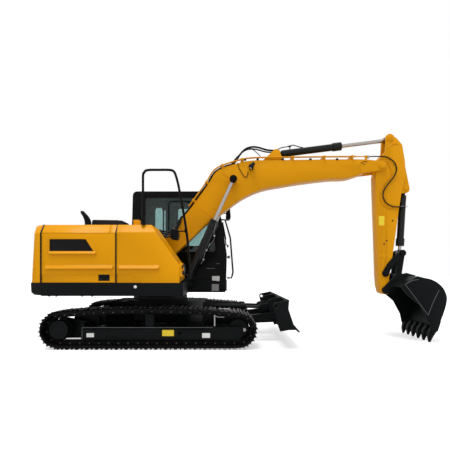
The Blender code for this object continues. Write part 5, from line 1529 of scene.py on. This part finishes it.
def build_tip_cheeks():
    """Plates with a round front on both sides of the boom's tip, and two dark strips in the right one that paint
    the shade inside two slotted openings.
    """
    front = circle(ARM_PIN, 0.088, range(-80, 81, 10))
    cheek = [(4.02, 3.30)] + front + [(4.02, 3.545)]
    for side, name, face in ((-1, "right", BOOM_FACE), (1, "left", BOOM_FACE + BOOM_WIDTH)):
        form = bmesh.new()
        add_prism(form, cheek, face + side * 0.007, face - side * 0.002)
        made("tip_cheek_" + name, form, machine_paint, BODY_OF["boom"], bevel=0.003)
    # Two openings drawn as dark strips: painted shade.
    slot_shade_form = bmesh.new()
    for x, z, turn in ((4.055, 3.480, -0.55), (4.10, 3.515, 0.0)):
        reach = Vector((0.045 * math.cos(turn), 0.045 * math.sin(turn)))
        ends = ((x - reach.x, z - reach.y), (x + reach.x, z + reach.y))
        add_tube(slot_shade_form, side_path(ends, BOOM_FACE - 0.007), 0.006, 8)
    made("tip_slots", slot_shade_form, trim_plastic, BODY_OF["boom"])


def seam_strip(low, high):
    """Profile of a rubber seal that stands proud of the right door's side and the chamfer's top."""
    face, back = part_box("door_right")[0].y - 0.004, -SIDE + 0.008
    outside = [(face, low), (face, high - 0.152), (-SIDE + 0.108, high + 0.004), (-0.3, high + 0.004)]
    inside = [(-0.3, high - 0.01), (-SIDE + 0.118, high - 0.01), (back, high - 0.16), (back, low)]
    return outside + inside


class EXCAVATOR_OT_trim(bpy.types.Operator):
    """Fit seals, lamps, wiper, latches and the small trim"""

    bl_idname = "excavator.trim"
    bl_label = "Trim"

    def execute(self, context):
        for name, x in (("seal_rear", -1.8325), ("seal_middle", -0.548)):
            form = bmesh.new()
            add_prism(form, seam_strip(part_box("door_right")[0].z, HOOD_TOP), x - 0.011, x + 0.011, "X")
            made(name, form, hose_rubber, UPPER)
        cap = bmesh.new()
        rows = [(0, 0.026), (0.006, 0.026), (0.009, 0.022), (0.009, 0.014), (0.012, 0.012)]
        add_turned(cap, at(-0.216, -SIDE + 0.002, 1.078), (0, -1, 0), rows, 28)
        made("deck_cap", cap, white_plate, UPPER)
        build_wiper()
        build_roof_fittings()
        build_front_lamp()
        build_work_lamp()
        build_filler_cap()
        build_exhaust_details()
        build_quarter_trim()
        build_beam_fittings()
        build_door_handles()
        build_side_lining()
        build_guards()
        build_panel_ribs()
        build_deck_bolts()
        return {"FINISHED"}


# Name, node whose body it rides, X range, Z range of a pressed rib's sloping face, its depth
PANEL_RIBS = (
    ("door_rib", "door_right", (-1.758, -0.60), (1.388, 1.442), 0.030),
    ("tank_rib", "tank_cover", (-0.50, 0.195), (1.388, 1.442), 0.030),
    ("louvre_sill", "door_right", (-1.70, -0.885), (1.643, 1.687), 0.025),
    ("tail_rib", "counterweight", (-1.98, -1.93), (1.400, 1.442), 0.010),
)
RIB_END_SLOPE = 0.012


def build_panel_ribs():
    """Pressed ribs whose sloping faces catch the light on the right side."""
    for name, node, (x_low, x_high), (z_low, z_high), depth in PANEL_RIBS:
        middle = (x_low + x_high) / 2
        y = skin_y(node, middle, z_high, -1) + 0.001
        form = bmesh.new()
        profile = [(y, z_low - 0.004), (y - depth, z_low), (y - depth, z_low + 0.006), (y, z_high)]
        add_prism(form, profile, x_low, x_high, "X")
        for vertex in form.verts:
            if vertex.co.y < y - 0.002:
                vertex.co.x += RIB_END_SLOPE if vertex.co.x < SWING_X + middle else -RIB_END_SLOPE
        made(name, form, machine_paint, BODY_OF[node], bevel=0.003)


def build_deck_bolts():
    """Bolt heads under the deck's skirt and two marks on the cab's lower panel."""
    form = bmesh.new()
    rows = [(0, 0.016), (0.012, 0.016), (0.016, 0.012)]
    for x in (-1.693, -1.574, -1.129, -0.959):
        add_turned(form, at(x, -SIDE + 0.01, 0.925), (0, 0, -1), rows, 12)
    made("deck_bolts", form, cab_paint, UPPER)
    form = bmesh.new()
    for x_low, x_high, z in ((0.93, 1.10, 1.40), (1.13, 1.21, 1.50)):
        add_block(form, (x_low, x_high), (CAB_INNER - 0.004, CAB_INNER + 0.002), (z - 0.005, z + 0.005))
    made("cab_panel_marks", form, bright_bead, UPPER)


def build_wiper():
    """Front wiper with its motor housing, and the small mirror bracket under it."""
    y = CAB_INNER + 0.16
    form = bmesh.new()
    arm = [(1.229, 2.46), (1.269, 2.30), (1.312, 2.10), (1.339, 1.95), (1.344, 1.90)]
    add_tube(form, smooth_path(side_path(arm, y), 5), 0.012, 10)
    blade = [(1.268, 2.40), (1.306, 2.20), (1.338, 2.03)]
    add_tube(form, smooth_path(side_path(blade, y - 0.03), 5), 0.013, 8)
    add_turned(form, at(1.362, y, 1.885), (1, 0, 0.15), [(0, 0.03), (0.025, 0.03), (0.035, 0.02)], 20)
    rows = [(0, 0.02), (0.03, 0.02), (0.03, 0.032), (0.055, 0.032), (0.06, 0.026)]
    add_turned(form, at(1.364, CAB_INNER + 0.10, 1.645), (1, 0, 0), rows, 20)
    made("front_wiper", form, cab_paint, UPPER)


def build_roof_fittings():
    """Lifting eyes and bolt heads along the cab's roof."""
    form = bmesh.new()
    eyes = ((-0.45, 0.030, 0.028), (-0.22, 0.018, 0.022), (0.17, 0.018, 0.014), (0.62, 0.018, 0.014))
    for x, radius, height in eyes:
        base = at(x, CAB_INNER + 0.10, CAB_ROOF - 0.004)
        add_turned(form, base, (0, 0, 1), [(0, radius), (height * 0.7, radius), (height, radius * 0.6)], 20)
    made("roof_fittings", form, cab_paint, UPPER)


def build_front_lamp():
    """Lens and dark bezel in the lamp housing at the tank's front."""
    form = bmesh.new()
    add_plate(form, corners_of((-1.19, 1.275), (-0.99, 1.465)), 0.02, 4, 0.598, 0.6165, "X")
    y_range = (-1.204, -1.19)
    add_plate(form, corners_of((0.585, 1.285), (0.607, 1.36)), 0.006, 3, *y_range)
    add_plate(form, [(0.575, 1.385), (0.602, 1.385), (0.598, 1.45), (0.575, 1.45)], 0.006, 3, *y_range)
    made("front_lamp_bezel", form, trim_plastic, UPPER)
    lens = bmesh.new()
    rows = [(0, 0.05), (0.0065, 0.05), (0.0085, 0.038), (0.009, 0.02)]
    add_turned(lens, at(0.610, -1.09, 1.37), (1, 0, 0), rows, 28)
    made("front_lamp_lens", lens, lamp_lens, UPPER)


def build_work_lamp():
    """Body and lens of the boom's work lamp, its face forward and down."""
    low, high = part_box("boom_lamp")
    middle = (low + high) / 2
    start = Vector((middle.x - 0.02, low.y - 0.012, middle.z - 0.045))
    form = bmesh.new()
    rows = [(0, 0.030), (0.012, 0.034), (0.11, 0.034), (0.125, 0.024)]
    add_turned(form, start, (0.45, 0, 0.75), rows, 24)
    made("work_lamp_body", form, trim_plastic, BODY_OF["boom_lamp"])
    lens = bmesh.new()
    add_turned(lens, start, (-0.45, 0, -0.75), [(-0.002, 0.028), (0.004, 0.026), (0.006, 0.018)], 24)
    made("work_lamp_lens", lens, lamp_lens, BODY_OF["boom_lamp"])


def build_filler_cap():
    """Cap with grips on the fuel filler."""
    form = bmesh.new()
    rows = [(0, 0.045), (0.012, 0.045), (0.016, 0.04), (0.016, 0.018), (0.022, 0.016)]
    add_turned(form, at(-0.268, -0.885, HOOD_TOP + 0.109), (0, 0, 1), rows, 24)
    made("filler_cap", form, trim_plastic, UPPER)


def build_exhaust_details():
    """Clamp around the exhaust's foot and ribs on the lid's box."""
    low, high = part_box("exhaust_stack")
    form = bmesh.new()
    centre = Vector(((low.x + high.x) / 2 + 0.03, (low.y + high.y) / 2, HOOD_TOP + 0.02))
    add_turned(form, centre, (0, 0, 1), [(0, 0.105), (0.004, 0.11), (0.024, 0.11), (0.028, 0.105)], 32)
    made("exhaust_collar", form, trim_plastic, BODY_OF["exhaust_stack"])
    places = [at(-1.24 + 0.045 * index, -0.04, HOOD_TOP + 0.209) for index in range(10)]
    repeated(
        "lid_box_ribs", "loop_bars", places, [Vector((1, 0, 0))] * len(places), trim_plastic,
        BODY_OF["engine_hood"], Length=0.012, Depth=0.34, Thickness=0.010,
    )


def build_quarter_trim():
    """Lining with two arched openings inside the quarter window."""
    y_range = (SIDE - 0.070, SIDE - 0.056)
    form = bmesh.new()
    for low, high in (
        ((-0.52, 1.88), (-0.34, 2.88)), ((-0.165, 1.94), (-0.125, 2.78)), ((-0.34, 1.88), (-0.08, 1.94)),
    ):
        add_prism(form, corners_of(low, high), *y_range)
    for low, high in ((-0.34, -0.165), (-0.125, -0.08)):
        arch = circle(((low + high) / 2, 2.76), (high - low) / 2, range(0, 181, 15), 1.3)
        add_prism(form, arch + [(low, 2.88), (high, 2.88)], *y_range)
    add_prism(form, corners_of((-0.165, 2.76), (-0.125, 2.88)), *y_range)
    made("quarter_window_lining", form, cab_lining, UPPER)


def build_beam_fittings():
    """Tension cap, grease line, painted highlights along the edges and carrier plate on both track frames."""
    for side, name in ((-1, "right"), (1, "left")):
        node = "track_frame_" + name
        form = bmesh.new()
        rows = [(0, 0.034), (0.012, 0.034), (0.018, 0.028), (0.018, 0.012), (0.022, 0.010)]
        add_turned(form, at(1.655, side * 1.10, 0.324), (0, side, 0), rows, 24)
        line = ((1.14, 0.58), (1.18, 0.555), (1.22, 0.548), (1.31, 0.548))
        add_tube(form, smooth_path(side_path(line, side * 1.12), 4), 0.008, 8)
        add_block(form, (1.13, 1.15), (side * 1.12 - 0.01, side * 1.12 + 0.01), (0.39, 0.585))
        made("tension_cap_" + name, form, bright_steel, BODY_OF[node])
        # Pale lines along the beam's top edge and rear end: painted highlights.
        form = bmesh.new()
        face = skin_y(node, 0.1, 0.24, side) + side * 0.001
        add_tube(form, side_path([(x, 0.366) for x in (-1.16, 0.0, 1.11)], face), 0.005, 8)
        add_tube(form, side_path([(-1.165, z) for z in (0.36, 0.26, 0.16)], face), 0.004, 8)
        made("beam_edge_" + name, form, bright_bead, BODY_OF[node])
        form = bmesh.new()
        add_plate(form, corners_of((-0.07, 0.386), (0.086, 0.60)), 0.01, 3, side * 1.112, side * 1.122)
        made("carrier_plate_" + name, form, frame_paint, BODY_OF[node], bevel=0.002)


def build_side_lining():
    """Dark lining under and before the right window, on the cab's inside."""
    form = bmesh.new()
    y_range = (CAB_INNER + 0.0515, CAB_INNER + 0.064)
    for corners in (
        [(-0.42, 1.70), (1.14, 1.70), (1.12, 1.885), (-0.42, 1.885)],
        [(1.0, 1.86), (1.14, 1.86), (1.07, 2.62), (0.97, 2.62)],
    ):
        add_plate(form, corners, 0.02, 4, *y_range)
    made("right_window_lining", form, trim_plastic, UPPER, bevel=0.003)


def build_guards():
    """Mud guards behind the sprockets and the cover plates of the track tension yokes."""
    for side, name in ((-1, "right"), (1, "left")):
        form = bmesh.new()
        guard = [(-1.50, 0.42), (-0.98, 0.38), (-0.98, 0.575), (-1.42, 0.575)]
        add_plate(form, guard, 0.03, 4, side * 0.735, side * 0.743)
        add_plate(form, corners_of((-1.02, 0.32), (-0.98, 0.57)), 0.01, 3, side * 0.70, side * 0.80)
        made("mud_guard_" + name, form, frame_paint, BASE, bevel=0.003)
        form = bmesh.new()
        face = skin_y("track_frame_" + name, 1.30, 0.26, side)
        cover = corners_of((1.135, 0.165), (1.60, 0.355))
        add_plate(form, cover, 0.012, 4, face - side * 0.002, face + side * 0.007)
        made("yoke_plate_" + name, form, frame_paint, BASE, bevel=0.003)


def build_door_handles():
    """Grab handle and latch in the right door's pocket, and the cab door's handle."""
    form = bmesh.new()
    grab = ((-0.83, 1.235), (-0.80, 1.247), (-0.71, 1.247), (-0.68, 1.235))
    add_tube(form, smooth_path(side_path(grab, -SIDE + 0.012), 5), 0.008, 10)
    rows = [(0, 0.014), (0.014, 0.014), (0.016, 0.010)]
    add_turned(form, at(-0.757, -SIDE + 0.024, 1.21), (0, -1, 0), rows, 16)
    made("right_door_handle", form, cab_paint, BODY_OF["door_right"])
    form = bmesh.new()
    bow = ((0.98, 0.0, 1.50), (0.98, 0.03, 1.52), (0.90, 0.03, 1.56), (0.86, 0.03, 1.56), (0.86, 0.0, 1.56))
    add_tube(form, smooth_path([at(x, SIDE + proud, z) for x, proud, z in bow], 5), 0.009, 10)
    made("cab_door_handle", form, trim_plastic, BODY_OF["cab_door"])


class EXCAVATOR_OT_seat(bpy.types.Operator):
    """Pad and cover the operator's seat"""

    bl_idname = "excavator.seat"
    bl_label = "Operator Seat"

    def execute(self, context):
        low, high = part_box("operator_seat")
        middle = (low.y + high.y) / 2
        frame_form = bmesh.new()
        floor = low.z
        add_block(frame_form, (0.02, 0.38), (middle - 0.19, middle + 0.19), (floor, floor + 0.24))
        add_block(frame_form, (-0.03, 0.47), (middle - 0.22, middle + 0.22), (floor + 0.225, floor + 0.26))
        made("seat_frame", frame_form, trim_plastic, UPPER, bevel=0.008, replaces=("operator_seat",))
        cushion = [(-0.03, floor + 0.26), (0.49, floor + 0.26), (0.50, floor + 0.36), (-0.03, floor + 0.35)]
        back = [(0.0, floor + 0.37), (0.10, floor + 0.37), (-0.09, floor + 1.08), (-0.18, floor + 1.065)]
        for name, outline, half in (("seat_cushion", cushion, 0.24), ("seat_back", back, 0.22)):
            form = bmesh.new()
            add_prism(form, rounded(outline, 0.03, 4), middle - half, middle + half)
            piece = made(name, form, seat_cloth, UPPER)
            inflate(piece, [middle - 0.15, middle + 0.15])
        return {"FINISHED"}


# Cloth run that swells the pads: voxel size, furthest move of a point, pressure, frames
VOXEL, SWELL_CAP, PRESSURE, CLOTH_FRAMES = 0.006, 0.018, 4.0, 20
# Sewn channels: depth, and the distance across Y over which they fade
CHANNEL_DEPTH, CHANNEL_WIDTH = 0.008, 0.007


def inflate(piece, channels):
    """Swells a pad with a short cloth run and sews channels along it, at places along Y."""
    carrier = bpy.data.objects.new(piece.name + "_carrier", piece.data.copy())
    bpy.context.scene.collection.objects.link(carrier)
    carrier.data.transform(piece.matrix_world)
    remesh = carrier.modifiers.new("voxels", "REMESH")
    remesh.mode = "VOXEL"
    remesh.voxel_size = VOXEL
    bpy.context.view_layer.update()
    start = bpy.data.meshes.new_from_object(carrier.evaluated_get(bpy.context.evaluated_depsgraph_get()))
    carrier.modifiers.clear()
    carrier.data = start
    cloth = carrier.modifiers.new("cloth", "CLOTH")
    cloth.settings.use_pressure = True
    cloth.settings.uniform_pressure_force = PRESSURE
    cloth.settings.effector_weights.gravity = 0.0
    for step in range(1, CLOTH_FRAMES + 1):
        bpy.context.scene.frame_set(step)
    swollen = bpy.data.meshes.new_from_object(carrier.evaluated_get(bpy.context.evaluated_depsgraph_get()))
    for before, after in zip(start.vertices, swollen.vertices):
        move = after.co - before.co
        after.co = before.co + (move.normalized() * SWELL_CAP if move.length > SWELL_CAP else move)
    normals = [vertex.normal.copy() for vertex in swollen.vertices]
    for vertex, normal in zip(swollen.vertices, normals):
        share = sum(math.exp(-((vertex.co.y - channel) / CHANNEL_WIDTH) ** 2) for channel in channels)
        vertex.co -= normal * CHANNEL_DEPTH * share
    bpy.context.scene.frame_set(1)
    bpy.data.objects.remove(carrier, do_unlink=True)
    swollen.transform(piece.matrix_world.inverted())
    swollen.materials.clear()
    for material in piece.data.materials:
        swollen.materials.append(material)
    swollen.shade_smooth()
    piece.data = swollen


# Camera: how far it stands before the slewing axis, its height, the share of the frame it is shifted up
CAMERA_X, CAMERA_HEIGHT, CAMERA_SHIFT = 1.32, 1.367, 0.1
# Half the floor's width, and how far it lies under the ground
FLOOR_REACH, FLOOR_GAP = 60.0, 0.001
# The floor's grey in the light it sends on; to the camera, the share of its brightness and its own glow
FLOOR_GREY, FLOOR_SHARE, FLOOR_GLOW = 0.55, 0.62, 0.50
# The soft sun's width in degrees and the way its light travels
SUN_SIZE, SUN_DIRECTION = 24, (0.2, 0.26, -1.0)


class EXCAVATOR_OT_stage(bpy.types.Operator):
    """Set up the floor, lights and camera of the studio"""

    bl_idname = "excavator.stage"
    bl_label = "Studio Stage"

    def execute(self, context):
        stage = settings("stage")
        build_floor(stage.backdrop)
        build_lights(stage)
        lens = bpy.data.cameras.new("photo_camera")
        lens.lens = stage.lens
        lens.shift_y = CAMERA_SHIFT
        lens.dof.use_dof = False
        camera = bpy.data.objects.new("photo_camera", lens)
        bpy.context.scene.collection.objects.link(camera)
        camera.location = at(CAMERA_X, -stage.distance, CAMERA_HEIGHT)
        camera.rotation_euler = (math.radians(90), 0, 0)
        context.scene.camera = camera
        context.scene.view_settings.view_transform = "Standard"
        return {"FINISHED"}


def build_floor(brightness):
    """A wide pale floor that fades into the white background."""
    form = bmesh.new()
    corners = corners_of((-FLOOR_REACH, -FLOOR_REACH), (FLOOR_REACH, FLOOR_REACH))
    form.faces.new([form.verts.new((x, y, -FLOOR_GAP)) for x, y in corners])
    mesh = bpy.data.meshes.new("floor")
    form.to_mesh(mesh)
    form.free()
    floor = bpy.data.objects.new("floor", mesh)
    bpy.context.scene.collection.objects.link(floor)
    pale, tree, shader = new_material("studio_floor")
    seen = tree.nodes.new("ShaderNodeLightPath").outputs["Is Camera Ray"]
    tree.links.new(
        spread(tree, seen, 0.0, 1.0, FLOOR_GREY, brightness * FLOOR_SHARE), shader.inputs["Base Color"],
    )
    shader.inputs["Emission Color"].default_value = (1.0, 1.0, 1.0, 1.0)
    tree.links.new(spread(tree, seen, 0.0, 1.0, 0.0, FLOOR_GLOW), shader.inputs["Emission Strength"])
    shader.inputs["Roughness"].default_value = 0.9
    shader.inputs["Specular IOR Level"].default_value = 0.1
    mesh.materials.append(pale)


def build_lights(stage):
    """A world that lights more from above and looks white, and a soft sun from over the camera's left."""
    world = bpy.data.worlds.new("studio")
    bpy.context.scene.world = world
    world.use_nodes = True
    tree = world.node_tree
    background = tree.nodes["Background"]
    path = tree.nodes.new("ShaderNodeLightPath")
    seen = arithmetic(tree, "ADD", path.outputs["Is Camera Ray"], path.outputs["Is Glossy Ray"])
    seen = arithmetic(tree, "ADD", seen, path.outputs["Is Transmission Ray"])
    background.inputs["Color"].default_value = (1.0, 1.0, 1.0, 1.0)
    sky = tree.nodes.new("ShaderNodeSeparateXYZ")
    tree.links.new(tree.nodes.new("ShaderNodeTexCoord").outputs["Generated"], sky.inputs[0])
    lit = spread(tree, sky.outputs["Z"], 0.0, 1.0, stage.fill, stage.fill + 1.0)
    shared = tree.nodes.new("ShaderNodeMix")
    tree.links.new(seen, shared.inputs[0])
    tree.links.new(lit, shared.inputs[2])
    shared.inputs[3].default_value = 1.0
    tree.links.new(shared.outputs[0], background.inputs["Strength"])
    sun = bpy.data.lights.new("key_sun", "SUN")
    sun.energy = stage.sun
    sun.angle = math.radians(SUN_SIZE)
    lamp = bpy.data.objects.new("key_sun", sun)
    bpy.context.scene.collection.objects.link(lamp)
    lamp.rotation_euler = Vector(SUN_DIRECTION).to_track_quat("-Z", "Y").to_euler()


class EXCAVATOR_PT_panel(bpy.types.Panel):
    """Buttons and settings of the excavator's looks"""

    bl_label = "Excavator"
    bl_idname = "EXCAVATOR_PT_panel"
    bl_space_type = "VIEW_3D"
    bl_region_type = "UI"
    bl_category = "Excavator"

    def draw(self, context):
        for operator in OPERATORS:
            self.layout.operator(operator.bl_idname)
        for name, kind in SETTINGS.items():
            group = settings(name)
            for field in kind.__annotations__:
                self.layout.prop(group, field)


SETTINGS = {"paint": PaintSettings, "fitting": FittingSettings, "stage": StageSettings}
OPERATORS = (
    EXCAVATOR_OT_stage,
    EXCAVATOR_OT_skins,
    EXCAVATOR_OT_tracks,
    EXCAVATOR_OT_glazing,
    EXCAVATOR_OT_cylinders,
    EXCAVATOR_OT_hoses,
    EXCAVATOR_OT_plates,
    EXCAVATOR_OT_fasteners,
    EXCAVATOR_OT_pins,
    EXCAVATOR_OT_beads,
    EXCAVATOR_OT_trim,
    EXCAVATOR_OT_seat,
)


def register():
    for kind in (*SETTINGS.values(), *OPERATORS, EXCAVATOR_PT_panel):
        bpy.utils.register_class(kind)
    for name, kind in SETTINGS.items():
        setattr(bpy.types.Scene, "excavator_" + name, PointerProperty(type=kind))


def unregister():
    for name in SETTINGS:
        delattr(bpy.types.Scene, "excavator_" + name)
    for kind in reversed((*SETTINGS.values(), *OPERATORS, EXCAVATOR_PT_panel)):
        bpy.utils.unregister_class(kind)


def main():
    register()
    for operator in OPERATORS:
        group, action = operator.bl_idname.split(".")
        getattr(getattr(bpy.ops, group), action)()


if __name__ == "__main__":
    main()
